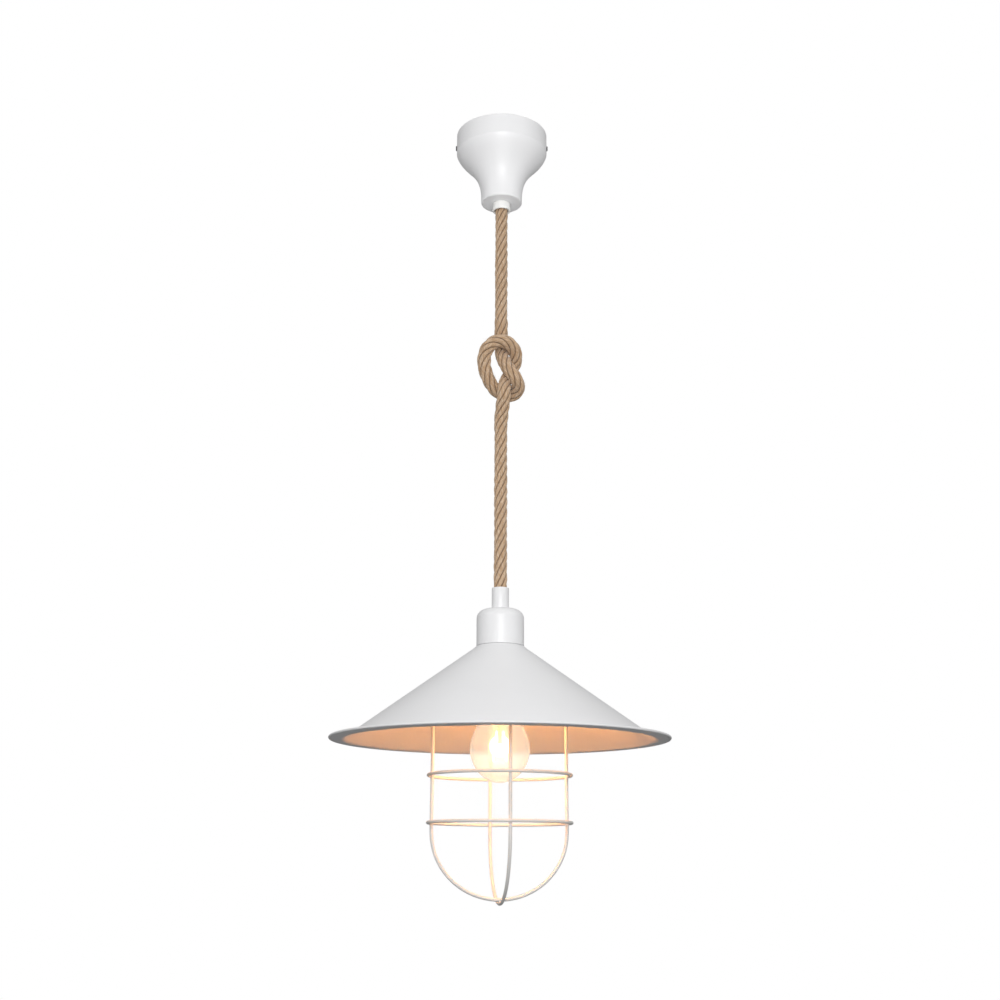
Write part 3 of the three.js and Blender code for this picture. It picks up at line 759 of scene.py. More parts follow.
@dataclass
class CeilingCanopy:
    """Bell-shaped cover on the ceiling, its two side screws and the cord grip under it."""

    radius: float = 50.4
    band: float = 22.0
    drop: float = 83.0
    neck: float = 22.6
    neck_rise: float = 9.0
    top_pull: tuple = (6.0, 16.0)  # inwards and down from the band's foot, the bell's upper handle
    foot_pull: tuple = (1.5, 20.0)  # outwards from the neck and down from the band, its lower handle
    wall: float = 1.0
    hole: float = 5.2
    screw_drop: float = 14.0
    grip_radius: float = 10.0
    grip_drop: float = 9.0
    grip_bore: float = 7.75
    stem_radius: float = 4.9
    stem_bore: float = 3.6
    stem_rise: float = 14.0

    def cover_outline(self) -> np.ndarray:
        """Return the sheet's outside: straight band, bell, neck and rounded foot, then in to the hole.

        Returns:
            Outline points as (r, z) pairs.
        """
        foot = -self.drop
        band = np.stack([np.full(4, self.radius), np.linspace(0, -self.band, 4)], -1)
        bell = bezier(
            (self.radius, -self.band),
            (self.radius - self.top_pull[0], -self.band - self.top_pull[1]),
            (self.neck + self.foot_pull[0], -self.band - self.foot_pull[1]),
            (self.neck + 0.1, foot + self.neck_rise),
            40,
        )
        edge = arc((self.neck - 1.6, foot + 1.6), (1.6, 1.6), 0, -90, 8)
        flat = np.stack([np.linspace(self.neck - 2.4, self.hole, 6), np.full(6, foot)], -1)
        return np.concatenate([band, bell[1:], edge, flat])

    def build_cover(self) -> bpy.types.Object:
        """Turn the sheet's outline and its parallel, one wall inside.

        Returns:
            The cover, riding on the ceiling mount.
        """
        outline = thickened(self.cover_outline(), self.wall)
        outline[-1] = (self.radius - self.wall, 0)
        made = Shape.turned(outline, 160).place("canopy_shell", SPUN_WHITE, 15.0)
        return settle(made, Body.MOUNT, "white_enamel", "canopy_cover")

    def build_screw(self, side: str, out: int) -> bpy.types.Object:
        """Build one side screw; side names it and out is its direction along X.

        Args:
            side: word for the side, used in its name.
            out: its direction along X, 1 or -1.

        Returns:
            The screw, riding on the ceiling mount.
        """
        centre = (out * (self.radius + 0.15), 0, -self.screw_drop)
        made = screw_head(centre, out, 2.8, 1.1, 0.8, 6.0).place(f"side_screw_{side}", BLACK_STEEL)
        return settle(made, Body.MOUNT, "dark_steel", f"canopy_screw_{side}")

    def build_grip(self) -> bpy.types.Object:
        """Turn the cord grip: a collar round the rope, and its hollow stem through the canopy.

        Returns:
            The grip, riding on the ceiling mount.
        """
        top = -self.drop - 0.15
        mouth, shelf, stem = top - self.grip_drop, top - 2, top + self.stem_rise
        outline = [
            (self.stem_bore, stem),
            (self.stem_bore, shelf),
            (self.grip_bore, shelf),
            (self.grip_bore, mouth),
            (self.grip_radius, mouth),
            (self.grip_radius, top),
            (self.stem_radius, top),
            (self.stem_radius, stem),
        ]
        made = Shape.turned(softened(outline, 0.9, 5), 96).place("grip_collar", NYLON)
        return settle(made, Body.MOUNT, "white_nylon", "cord_grip")

    def build(self) -> list[bpy.types.Object]:
        """Build every piece of the canopy."""
        screws = [self.build_screw("right", 1), self.build_screw("left", -1)]
        return [self.build_cover(), *screws, self.build_grip()]


# ---------------------------------------------------------------- the rope


@dataclass
class LaidRope:
    """Six-strand jute rope from the cord grip through its overhand knot to the sleeve."""

    radius: float = 6.85
    knot_radius: float = 7.35
    strands: int = 6
    strand_offset: float = 4.1  # from the rope's middle to a strand's
    pitch: float = 70.0  # one turn of the lay
    yarns: int = 5  # in a strand
    top: float = -86.0
    drop_top: float = -118.2
    knot_end: float = -350.0
    bottom: float = -532.0
    around: int = 96
    step: float = 1.1
    hairs: float = 1.6  # stray fibres for each millimetre
    # centre line of the overhand knot, with the straight rope above and below it
    knot: list = field(
        default_factory=lambda: [
            (0, 0, -216), (0, 0, -225), (0, 3.5, -236), (0, 8.5, -247),
            (0.8, 5.5, -259), (3.5, -3.5, -271), (8.5, -9.9, -283), (15.5, -9.5, -292.8),
            (18.4, -1.7, -300.1), (13, 6.5, -305.4), (3.5, 9.7, -305.2), (-6.5, 6.3, -299.5),
            (-14.6, 1, -287), (-18.3, -2.5, -272), (-16, -6.5, -260), (-8.6, -9.5, -252.5),
            (0.5, -10, -250.5), (9, -7.5, -253), (15.2, -0.5, -260), (15, 6.8, -269),
            (10.5, 9.4, -279), (6.5, 4.4, -289), (4.2, -4.5, -299), (3.4, -9, -309),
            (2, -6, -320), (0.7, -1.7, -331), (0, 0, -341), (0, 0, -350),
        ]
    )  # fmt: skip

    def route(self) -> np.ndarray:
        """Return the rope's centre line, a step apart, with a point at each piece's end.

        Returns:
            Points of shape (rings, 3).
        """
        stretches = [(self.top, self.drop_top), (self.drop_top, self.knot[0][2])]
        parts = [self.straight(*s) for s in stretches]
        parts += [smooth_path(self.knot, self.step)[:-1], self.straight(self.knot_end, self.bottom)]
        return np.concatenate([*parts, [(0, 0, self.bottom)]])

    def straight(self, start: float, end: float) -> np.ndarray:
        """Return points down the Z axis from start, up to but not at end."""
        z = np.linspace(start, end, round(abs(end - start) / self.step) + 1)[:-1]
        return np.stack([0 * z, 0 * z, z], -1)

    def frames(self, path: np.ndarray) -> tuple[np.ndarray, np.ndarray, np.ndarray]:
        """Carry a pair of cross directions down the rope without letting them spin.

        Each ring's first direction is the one before it less its part along the new direction of travel.

        Args:
            path: the centre line.

        Returns:
            The direction of travel and the two cross directions at each point.
        """
        along = np.gradient(path, axis=0)
        along /= np.linalg.norm(along, axis=1, keepdims=True)
        first = np.empty_like(along)
        carried = np.array([1.0, 0.0, 0.0])
        for ring, t in enumerate(along):
            carried = carried - (carried @ t) * t
            carried /= np.linalg.norm(carried)
            first[ring] = carried
        return along, first, np.cross(along, first)

    def section(self, run: np.ndarray, thick: np.ndarray) -> tuple[np.ndarray, np.ndarray, np.ndarray]:
        """Work out the rope's surface in its own cross directions.

        The outline is one overlapping circle for each strand: at angle p from a strand's middle the
        surface is at c cos p + sqrt(R^2 - c^2 sin^2 p), for strands of radius R at distance c. It turns
        one way along the rope. Inside each strand the yarns turn the other way and stand up as ridges.

        Args:
            run: distance along the rope at each ring.
            thick: rope radius at each ring.

        Returns:
            Angle and radius on a grid of (rings, around), and the fibre's place with how near it is to
            the strand's crown, of shape (rings, around, 4).
        """
        scale = (thick / self.radius)[:, None]
        c = self.strand_offset
        strand = self.radius - c
        place = np.linspace(0, TURN, self.around, endpoint=False)[None, :]
        share = TURN / self.strands
        p = (place + share / 2) % share - share / 2
        plain = c * np.cos(p) + np.sqrt(strand**2 - (c * np.sin(p)) ** 2)
        local = np.arctan2(plain * np.sin(p), plain * np.cos(p) - c)
        number = np.floor((place + share / 2) / share) % self.strands
        back = TURN * self.radius / (self.pitch * strand)
        fibre = local + back * run[:, None] + number
        ridge = 0.12 * np.cos(self.yarns * fibre) + 0.16 * np.sin(run[:, None] / 9 + 2.4 * number)
        crown = (plain - plain.min()) / np.ptp(plain) + 0 * fibre
        radius = (plain + ridge * crown) * scale
        angle = place + TURN * run[:, None] / self.pitch
        along = run[:, None] + 40 * number + 0 * fibre
        return angle, radius, np.stack([strand * np.cos(fibre), strand * np.sin(fibre), along, crown], -1)

    def fuzz(self, path: np.ndarray, frames: tuple, thick: np.ndarray, seed: int) -> tuple[Shape, np.ndarray]:
        """Scatter stray fibres: thin three-sided hairs that leave the surface at a slant and curl over.

        A hair's point at share t is root + length (t way + lift t^1.5 out), where its way is along the
        rope and a little sideways.

        Args:
            path: centre line of the stretch.
            frames: its directions, as `frames` gives them.
            thick: rope radius at each point.
            seed: number that fixes the scatter.

        Returns:
            All the hairs as one shape, and their fibre place and crown values.
        """
        chance = np.random.default_rng(seed)
        count = round(len(path) * self.step * self.hairs)
        ring = chance.integers(3, len(path) - 3, count)
        a = chance.uniform(0, TURN, count)
        along, first, second = (f[ring] for f in frames)
        out = first * np.cos(a)[:, None] + second * np.sin(a)[:, None]
        sideways = np.cross(along, out)
        up_or_down = chance.choice([-1, 1], count)[:, None]
        way = along * up_or_down + sideways * chance.uniform(-0.9, 0.9, count)[:, None]
        length = chance.uniform(2.0, 5.5, count)
        t = np.linspace(0, 1, 5)[None, :, None]
        lift = chance.uniform(0.2, 0.55, count)[:, None, None]
        root = path[ring] + out * (thick[ring] * chance.uniform(0.72, 0.96, count))[:, None]
        line = root[:, None] + length[:, None, None] * (t * way[:, None] + lift * t**1.5 * out[:, None])
        b = np.linspace(0, TURN, 3, endpoint=False)[None, None, :, None]
        slim = 0.085 * (1 - 0.6 * t[..., None])
        across = np.cos(b) * out[:, None, None] + np.sin(b) * sideways[:, None, None]
        grid = line[:, :, None] + slim * across
        shapes = [Shape.tube(hair) for hair in grid]
        shade = np.repeat(chance.uniform(0.6, 1.0, count), len(shapes[0].points))
        grain = np.repeat(chance.uniform(0, 60, (count, 3)), len(shapes[0].points), axis=0)
        return Shape.together(shapes), np.column_stack([grain, shade])

    def stretch(
        self, name: str, rows: slice, surface: tuple, nodes: list[str], seed: int
    ) -> bpy.types.Object:
        """Make one stretch of the rope, closed at both ends, with its stray fibres.

        Args:
            name: piece name.
            rows: which rings of the whole rope it takes.
            surface: path, frames, radii, ring grid and fibre values of the whole rope.
            nodes: CAD nodes that it stands for.
            seed: number that fixes its stray fibres.

        Returns:
            The rope piece, not yet riding on anything.
        """
        path, frames, thick, grid, place = surface
        laid = Shape.tube(grid[rows])
        ends = np.array([place[rows][0, 0], place[rows][-1, 0]])
        values = np.concatenate([place[rows].reshape(-1, 4), ends])
        hairs, hair_values = self.fuzz(path[rows], tuple(f[rows] for f in frames), thick[rows], seed)
        made = Shape.together([laid, hairs]).place(name, JUTE, 60.0)
        values = np.concatenate([values, hair_values])
        fibre = made.data.attributes.new("fibre_place", "FLOAT_VECTOR", "POINT")
        fibre.data.foreach_set("vector", values[:, :3].astype(np.float32).ravel())
        # the crown value also sets where the jute material paints shade between strands
        crown = made.data.attributes.new("crown", "FLOAT", "POINT")
        crown.data.foreach_set("value", values[:, 3].astype(np.float32))
        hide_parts(*nodes)
        return made

    def build(self) -> list[bpy.types.Object]:
        """Returns:
            The three stretches.
        """
        path = self.route()
        run = np.concatenate([[0], np.cumsum(np.linalg.norm(np.diff(path, axis=0), axis=1))])
        gate = np.clip(np.minimum(self.knot[0][2] - path[:, 2], path[:, 2] - self.knot_end) / 12, 0, 1)
        thick = self.radius + (self.knot_radius - self.radius) * gate * gate * (3 - 2 * gate)
        frames = self.frames(path)
        angle, radius, place = self.section(run, thick)
        spread = [f[:, None] for f in frames[1:]]
        grid = path[:, None] + radius[..., None] * (
            np.cos(angle)[..., None] * spread[0] + np.sin(angle)[..., None] * spread[1]
        )
        surface = (path, frames, thick, grid, place)
        on_axis = np.hypot(path[:, 0], path[:, 1]) < 1e-6
        ends = (self.drop_top, self.knot_end)
        cut = [int(np.flatnonzero(on_axis & (path[:, 2] <= z + 1e-6))[0]) for z in ends]
        neck = self.stretch("rope_neck_laid", slice(0, cut[0] + 1), surface, ["rope_end", "rope_neck"], 11)
        knotted = slice(cut[0], cut[1] + 1)
        drop = self.stretch("rope_knotted", knotted, surface, ["rope_upper", "rope_knot"], 12)
        lower = self.stretch("rope_lower_laid", slice(cut[1], None), surface, ["rope_lower"], 13)
        self.bend(neck, Body.MOUNT, Body.LEAD, -91.0, -112.0)
        self.bend(drop, Body.LEAD, Body.DROP, self.drop_top, -142.0)
        self.bend(lower, Body.DROP, Body.HEAD, -353.0, -512.0)
        return [neck, drop, lower]

    def bend(self, made: bpy.types.Object, start: Body, end: Body, z0: float, z1: float) -> None:
        """Bake a stretch's placement into its mesh."""
        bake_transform(made)


# ---------------------------------------------------------------- the lamp head


@dataclass
class LampHead:
    """Rope sleeve, socket cup, lampholder, cone shade and the nut that holds it."""

    sleeve_top: float = -518.7
    sleeve_length: float = 22.3
    sleeve_radius: float = 8.8
    sleeve_bore: float = 7.65
    sleeve_web: float = 5.0
    nipple_hole: float = 5.2
    cup_radius: float = 24.2
    cup_shoulder: float = 9.2
    cup_top: float = -541.15
    cup_bottom: float = -578.66
    shade_top: float = -578.68
    shade_neck: float = 24.0
    shoulder: float = 3.3
    cone_start: float = 27.5
    cone_foot: float = 155.5
    cone_drop: float = 94.8
    rim_radius: float = 170.0
    rim_rise: float = 1.2
    hem: float = 1.2
    wall: float = 1.0
    holder_hole: float = 20.3
    nut_radius: float = 22.8
    nut_top: float = -585.3
    nut_height: float = 8.0

    def build_sleeve(self) -> bpy.types.Object:
        """Turn the tube that clamps the rope's lower end.

        Returns:
            The sleeve, riding on the lamp head.
        """
        foot = self.sleeve_top - self.sleeve_length
        outline = [
            (self.nipple_hole, foot),
            (self.sleeve_radius, foot),
            (self.sleeve_radius, self.sleeve_top),
            (self.sleeve_bore, self.sleeve_top),
            (self.sleeve_bore, foot + self.sleeve_web),
            (self.nipple_hole, foot + self.sleeve_web),
        ]
        made = Shape.turned(softened(outline, 0.5, 4), 96).place("rope_sleeve_tube", SPUN_WHITE)
        return settle(made, Body.HEAD, "white_enamel", "rope_sleeve")

    def build_cup(self) -> bpy.types.Object:
        """Turn the spun cup: a straight wall, an elliptical shoulder and a nearly flat top.

        Returns:
            The cup, riding on the lamp head.
        """
        flat = self.cup_radius - self.cup_shoulder - 1
        heights = np.linspace(self.cup_bottom, self.cup_bottom + 26, 5)
        wall = np.stack([np.full(5, self.cup_radius), heights], -1)
        axes = (self.cup_radius - flat, self.cup_shoulder)
        dome = arc((flat, self.cup_top - self.cup_shoulder), axes, 0, 84, 22)
        top = np.stack([np.linspace(flat, self.nipple_hole, 5), np.full(5, self.cup_top)], -1)
        outline = thickened(np.concatenate([wall, dome, top]), -self.wall)
        made = Shape.turned(outline, 128).place("socket_cup_spun", SPUN_WHITE)
        return settle(made, Body.HEAD, "white_enamel", "socket_cup")

    def build_shade(self) -> bpy.types.Object:
        """Turn the spun shade: flat neck, rounded shoulder, straight cone, and a flange with a rolled hem.

        Returns:
            The shade, riding on the lamp head.
        """
        top, foot = self.shade_top, self.shade_top - self.cone_drop
        neck = [(self.holder_hole, top), (self.shade_neck, top), (self.cone_start, top - self.shoulder)]
        rim = (self.rim_radius - 2 * self.hem, foot + self.rim_rise)
        outline = softened([*neck, (self.cone_foot, foot), rim], 3.2, 9, closed=False)
        sheet = thickened(outline, self.wall)
        middle = len(outline)
        hem = arc((self.rim_radius - self.hem, foot + self.rim_rise), (self.hem, self.hem), 150, -150, 20)
        made = Shape.turned(np.concatenate([sheet[:middle], hem, sheet[middle:]]), 220)
        return settle(made.place("cone_shade", SPUN_WHITE), Body.HEAD, "white_enamel", "shade")

    def build_nut(self) -> bpy.types.Object:
        """Turn the ring nut and press eight grip notches into its side.

        Its outline is turned, and each outer point is drawn in by 1.4 mm times the sixteenth power of
        cos 4a, which is one at the eight notches and next to nothing between them.

        Returns:
            The nut, riding on the lamp head.
        """
        low = self.nut_top - self.nut_height
        outline = softened(ring_section(self.holder_hole, self.nut_radius, low, self.nut_top), 0.7, 5)
        shape = Shape.turned(outline, 192)
        a = np.arctan2(shape.points[:, 1], shape.points[:, 0])
        r = np.hypot(shape.points[:, 0], shape.points[:, 1])
        outer = np.clip((r - self.holder_hole - 0.9) / 1.6, 0, 1)
        shape.points[:, :2] *= (1 - 1.4 * outer * np.cos(4 * a) ** 16 / r)[:, None]
        return settle(shape.place("shade_nut", BAKELITE), Body.HEAD, "black_bakelite", "shade_ring_nut")

    def build(self) -> list[bpy.types.Object]:
        """Build every piece of the lamp head that shows."""
        return [self.build_sleeve(), self.build_cup(), self.build_shade(), self.build_nut()]


@dataclass
class WireGuard:
    """Two crossed wires that hang from a collar and bow under the bulb, and two rings round them."""

    radius: float = 67.2
    wire: float = 1.7
    ring_wire: float = 1.6
    bend: float = 762.0
    rings: tuple = (707.4, 753.1)
    yaw: float = math.radians(8.5)
    collar_radius: float = 22.8
    collar_bore: float = 20.3
    collar_top: float = -580.0
    collar_height: float = 5.0
    gap: float = 0.3
    wall: float = 1.0
    shade: LampHead = field(default_factory=LampHead)

    def cone_height(self, r: float) -> float:
        """Return the height of a wire's middle where it runs under the cone, at radius r.

        Args:
            r: distance from the axis.

        Returns:
            Height of the wire's middle.
        """
        head = self.shade
        slope = (head.cone_drop - head.shoulder) / (head.cone_foot - head.cone_start)
        room = self.wall / math.cos(math.atan(slope)) + self.wire + 2.2
        return head.shade_top - head.shoulder - (r - head.cone_start) * slope - room

    def wire_line(self, depth: float) -> list:
        """Return a wire's middle as (r, z) pairs, from one end at the collar down under the bulb and back.

        Args:
            depth: how far down the wire's middle comes.

        Returns:
            Points as (r, z) pairs.
        """
        start, turn = self.collar_radius + self.gap + 1, self.radius - 6
        heights = [(r, self.cone_height(r)) for r in (start, start + 12, turn - 8)]
        knee = [
            (turn, self.cone_height(turn) - 0.3),
            (self.radius - 1.4, self.cone_height(self.radius) - 1.2),
            (self.radius, self.cone_height(self.radius) - 8),
            (self.radius, -self.bend + 80),
            (self.radius, -self.bend + 40),
        ]
        arm = [*heights, *knee]
        bow = arc((0, -self.bend), (self.radius, depth - self.bend), 0, -180, 25).tolist()
        return [*arm, *bow, *[(-r, z) for r, z in reversed(arm)]]

    def build_wire(self, name: str, depth: float, yaw: float) -> bpy.types.Object:
        """Sweep one wire along its line, turned about Z by its yaw.

        Args:
            name: the CAD node's name.
            depth: how far down the wire's middle comes.
            yaw: turn about Z in radians.

        Returns:
            The wire, riding on the lamp head.
        """
        out = np.array([math.cos(yaw), math.sin(yaw), 0])
        line = [(*(r * out)[:2], z) for r, z in self.wire_line(depth)]
        grid = rod_about(smooth_path(line, 1.6), self.wire, (-out[1], out[0], 0))
        made = Shape.tube(grid).place(f"{name}_drawn", WIRE_WHITE)
        return settle(made, Body.HEAD, "white_enamel", name)

    def build_ring(self, name: str, drop: float) -> bpy.types.Object:
        """Turn one ring: a circle of wire just outside the upright wires.

        Args:
            name: the CAD node's name.
            drop: how far down the ring lies.

        Returns:
            The ring, riding on the lamp head.
        """
        middle = self.radius + self.wire + self.ring_wire + self.gap / 2
        outline = arc((middle, -drop), (self.ring_wire, self.ring_wire), 0, 360, 19)[:-1]
        made = Shape.turned(outline, 200).place(f"{name}_drawn", WIRE_WHITE)
        return settle(made, Body.HEAD, "white_enamel", name)

    def build_collar(self) -> bpy.types.Object:
        """Turn the collar that the wires are welded to.

        Returns:
            The collar, riding on the lamp head.
        """
        low = self.collar_top - self.collar_height
        outline = ring_section(self.collar_bore, self.collar_radius, low, self.collar_top)
        made = Shape.turned(softened(outline, 0.5, 4), 120).place("guard_collar_turned", WIRE_WHITE)
        return settle(made, Body.HEAD, "white_enamel", "guard_collar")

    def build_welds(self) -> bpy.types.Object:
        """Set a weld where wire meets ring, wire meets wire and wire meets collar.

        Each weld is a small ellipsoid: (a cos u cos v, b sin u cos v, c sin v), at the touching point.

        Returns:
            All welds as one piece, riding on the lamp head.
        """
        between = self.radius + self.wire + self.gap / 4
        spots = [(between, -drop, (1.5, 1.9, 1.4)) for drop in self.rings]
        start = self.collar_radius + 0.4
        spots.append((start, self.cone_height(start + 0.6), (1.4, 1.9, 1.9)))
        angles = self.yaw + np.arange(4) * TURN / 4
        welds = [self.weld(r, z, size, a) for r, z, size in spots for a in angles]
        low = -(self.bend + self.radius) + self.wire + self.gap / 2
        welds.append(self.weld(0.0, low, (1.6, 1.6, 1.5), self.yaw))
        made = Shape.together(welds).place("guard_welds", WIRE_WHITE)
        return settle(made, Body.HEAD, "white_enamel")

    def weld(self, r: float, z: float, size: tuple, turn: float) -> Shape:
        """Return one weld at radius r and height z, its long way turned about Z.

        Args:
            r: distance from the axis.
            z: height.
            size: half lengths outwards, sideways and up.
            turn: turn about Z in radians.

        Returns:
            The weld.
        """
        v = np.linspace(-math.pi / 2, math.pi / 2, 9)[1:-1][:, None]
        u = np.linspace(0, TURN, 16, endpoint=False)[None, :]
        x, y = size[0] * np.cos(u) * np.cos(v) + r, size[1] * np.sin(u) * np.cos(v)
        c, s = math.cos(turn), math.sin(turn)
        grid = np.stack([x * c - y * s, x * s + y * c, z + size[2] * np.sin(v) + 0 * u], -1)
        poles = [(r * c, r * s, z - size[2]), (r * c, r * s, z + size[2])]
        return Shape.tube(grid, poles)

    def build(self) -> list[bpy.types.Object]:
        """Build the whole guard.

        Returns:
            Every piece of the guard.
        """
        low = self.bend + self.radius
        wires = [
            self.build_wire("guard_wire_across", low - 2 * self.wire - self.gap, self.yaw),
            self.build_wire("guard_wire_along", low, self.yaw + math.pi / 2),
        ]
        rings = [self.build_ring(f"guard_ring_{n}", d) for n, d in zip(("upper", "lower"), self.rings)]
        return [*wires, *rings, self.build_collar(), self.build_welds()]


# ---------------------------------------------------------------- the bulb


@dataclass
class Bulb:
    """Warm-coated bulb with four filament strips round a glass stem, and its screw cap."""

    radius: float = 30.0
    bottom: float = -714.8
    length: float = 105.0
    shoulder: float = 34.0
    glass: float = 0.7
    cap_radius: float = 13.15
    cap_length: float = 24.0
    thread: float = 3.629  # lead of the round thread
    strips: int = 4
    strip_length: float = 30.0
    strip_radius: float = 0.9
    strip_lean: float = 0.16
    strip_rise: float = 36.0  # from the bulb's bottom to the strips' middle
    strip_out: float = 7.0  # from the bulb's axis to a strip's middle
    stem_rise: float = 38.0  # from the bulb's bottom to the stem's foot
    power: float = 0.9

    @property
    def cap_top(self) -> float:
        """Height of the cap's shoulder, under the bead and the contact."""
        return self.bottom + self.length - 2.6

    @property
    def cap_bottom(self) -> float:
        """Height of the cap's lower edge."""
        return self.cap_top - self.cap_length

    def build_glass(self) -> bpy.types.Object:
        """Turn the envelope: a bowl that runs into a slim neck, with an even wall.

        Returns:
            The envelope, riding on the bulb.
        """
        middle = self.bottom + self.shoulder
        bowl = arc((0, middle), (self.radius, self.shoulder), -90, 0, 15)
        neck = bezier(
            (self.radius, middle),
            (self.radius, middle + 17),
            (self.cap_radius + 1.5, self.cap_bottom - 14),
            (self.cap_radius - 0.8, self.cap_bottom + 0.5),
            40,
        )
        outside = np.concatenate([bowl, neck[1:]])
        outside[0, 0] = 0
        outline = thickened(outside, -self.glass)
        outline[-1] = (0, self.bottom + self.glass)
        made = Shape.turned(outline, 128).place("bulb_envelope", BULB_GLASS)
        made.visible_shadow = False
        return settle(made, Body.BULB, "bulb_glass", "bulb_glass")

    def build_cap(self) -> bpy.types.Object:
        """Turn the cap and roll its thread in: the wall goes in and out as a cosine of height plus angle.

        Returns:
            The cap, riding on the bulb.
        """
        low, top = self.cap_bottom, self.cap_top
        side = np.stack([np.full(100, self.cap_radius), np.linspace(low + 0.3, top - 3.2, 100)], -1)
        inside = self.cap_radius - 1.7
        crown = [(self.cap_radius - 0.8, top - 2), (9.5, top), (9.0, top - 0.3), (inside, top - 3.6)]
        inner = [(inside, low)]
        shape = Shape.turned(np.concatenate([[(self.cap_radius - 0.2, low)], side, crown, inner]), 96)
        x, y, z = shape.points.T
        wave = 0.5 - 0.5 * np.cos(TURN * (z - low) / self.thread - np.arctan2(y, x))
        fade = np.clip((z - low - 3) / 1.5, 0, 1) * np.clip((top - 3.2 - z) / 1.5, 0, 1)
        outer = np.hypot(x, y) > self.cap_radius - 1
        shape.points[:, :2] *= (1 - 0.9 * wave * fade * outer / self.cap_radius)[:, None]
        return settle(shape.place("bulb_cap_threaded", NICKEL), Body.BULB, "bulb_nickel", "bulb_cap")

    def build_stem(self) -> bpy.types.Object:
        """Turn the glass stem that flares out to seal the neck.

        Returns:
            The stem, riding on the bulb.
        """
        foot, flare = self.bottom + self.stem_rise, self.cap_bottom + 2
        lines = [(0, foot), (2.2, foot), (2.4, foot + 12), (2.9, foot + 22), (7.5, flare), (0, flare)]
        outline = softened(lines, 6.0, 8, closed=False)
        made = Shape.turned(outline, 64).place("bulb_stem_pressed", STEM_GLASS)
        made.visible_shadow = False
        return settle(made, Body.BULB, "stem_glass", "bulb_stem")

    def build_strip(self, number: int) -> bpy.types.Object:
        """Build one strip: a slim rod with rounded ends, leaning out from the stem's foot.

        Args:
            number: which strip, from 0.

        Returns:
            The strip, riding on the bulb.
        """
        t = np.sin(np.linspace(-math.pi / 2, math.pi / 2, 25)[1:-1])
        half = self.strip_length / 2
        lean = (math.sin(-self.strip_lean), 0, math.cos(self.strip_lean))
        line = (t * half)[:, None] * lean
        width = self.strip_radius * np.clip((1 - t**2) * 9, 0, 1) ** 0.5
        middle = (self.strip_out, 0, self.bottom + self.strip_rise)
        grid = rod_about(line, width, (0, 1, 0), 12) + np.array(middle)
        a = TURN * (number + 0.5) / self.strips
        turn = np.array([[math.cos(a), math.sin(a), 0], [-math.sin(a), math.cos(a), 0], [0, 0, 1]])
        made = Shape.tube(grid @ turn).place(f"filament_strip_{number + 1}", GLOW)
        return settle(made, Body.BULB, "filament", f"bulb_filament_{number + 1}")

    def build_leads(self) -> bpy.types.Object:
        """Bend the nickel wires that carry the strips: out from the stem to each strip's two ends.

        Returns:
            All wires as one piece, riding on the bulb.
        """
        foot = self.bottom + self.stem_rise
        half = self.strip_length / 2
        wires = []
        for number in range(self.strips):
            a = TURN * (number + 0.5) / self.strips
            out = np.array([math.cos(a), math.sin(a), 0])
            for end, root in ((1, foot + 16), (-1, foot + 1)):
                r = self.strip_out - end * half * math.sin(self.strip_lean)
                z = self.bottom + self.strip_rise + end * half * math.cos(self.strip_lean)
                bends = ((1.6, root), (r * 0.6, (root + z) / 2 + end), (r, z))
                line = smooth_path([(*(k * out)[:2], h) for k, h in bends], 1.0)
                wires.append(Shape.tube(rod_about(line, 0.22, (-out[1], out[0], 0), 8)))
        made = Shape.together(wires).place("filament_leads", NICKEL)
        return settle(made, Body.BULB, "bulb_nickel")

    def build_light(self) -> None:
        """Put the warm lamp light in the middle of the strips; it rides on the bulb."""
        light = bpy.data.lights.new("filament_glow", "POINT")
        light.energy = self.power
        light.color = linear("#ffa95c")[:3]
        light.shadow_soft_size = 11 * MM
        lamp = bpy.data.objects.new("filament_glow", light)
        lamp.location = (0, 0, (self.bottom + self.strip_rise) * MM)
        bpy.context.scene.collection.objects.link(lamp)
        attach(lamp, Body.BULB.value)

    def build(self) -> list[bpy.types.Object]:
        """Build the bulb, with its light.

        Returns:
            Every piece of the bulb.
        """
        self.build_light()
        strips = [self.build_strip(n) for n in range(self.strips)]
        return [self.build_glass(), self.build_cap(), self.build_stem(), *strips, self.build_leads()]


# ---------------------------------------------------------------- CAD nodes that show as they are


@dataclass
class CarriedParts:
    """Frame nodes whose shape is right already, and what each is made of."""

    finishes: dict = field(
        default_factory=lambda: {
            ZINC: ["ceiling_bracket", "grip_washer", "grip_nut", "nipple_nut"],
            BRASS: [
                "terminal_screw_1", "terminal_screw_2", "terminal_screw_3", "threaded_nipple",
                "centre_contact", "screw_shell", "holder_terminal_live", "holder_terminal_neutral",
            ],
            NYLON: ["terminal_block", "cord_grip_screw"],
            BLACK_STEEL: ["sleeve_screw"],
            BAKELITE: ["holder_cap", "holder_body"],
            PVC_WHITE: ["supply_cable", "lamp_cable"],
            PVC_BROWN: ["live_lead", "holder_lead_live"],
            PVC_BLUE: ["neutral_lead", "holder_lead_neutral"],
            PVC_EARTH: ["earth_lead"],
            BEAD_GLASS: ["bulb_insulator"],
            NICKEL: ["bulb_tip_contact"],
        }
    )  # fmt: skip

    def dress(self) -> int:
        """Give each node its material and return how many were dressed.

        Returns:
            How many nodes were dressed.
        """
        pairs = [(node, finish) for finish, names in self.finishes.items() for node in names]
        for name, finish in pairs:
            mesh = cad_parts[name].data
            mesh.materials.clear()
            mesh.materials.append(finish.material())
        return len(pairs)


# ---------------------------------------------------------------- studio


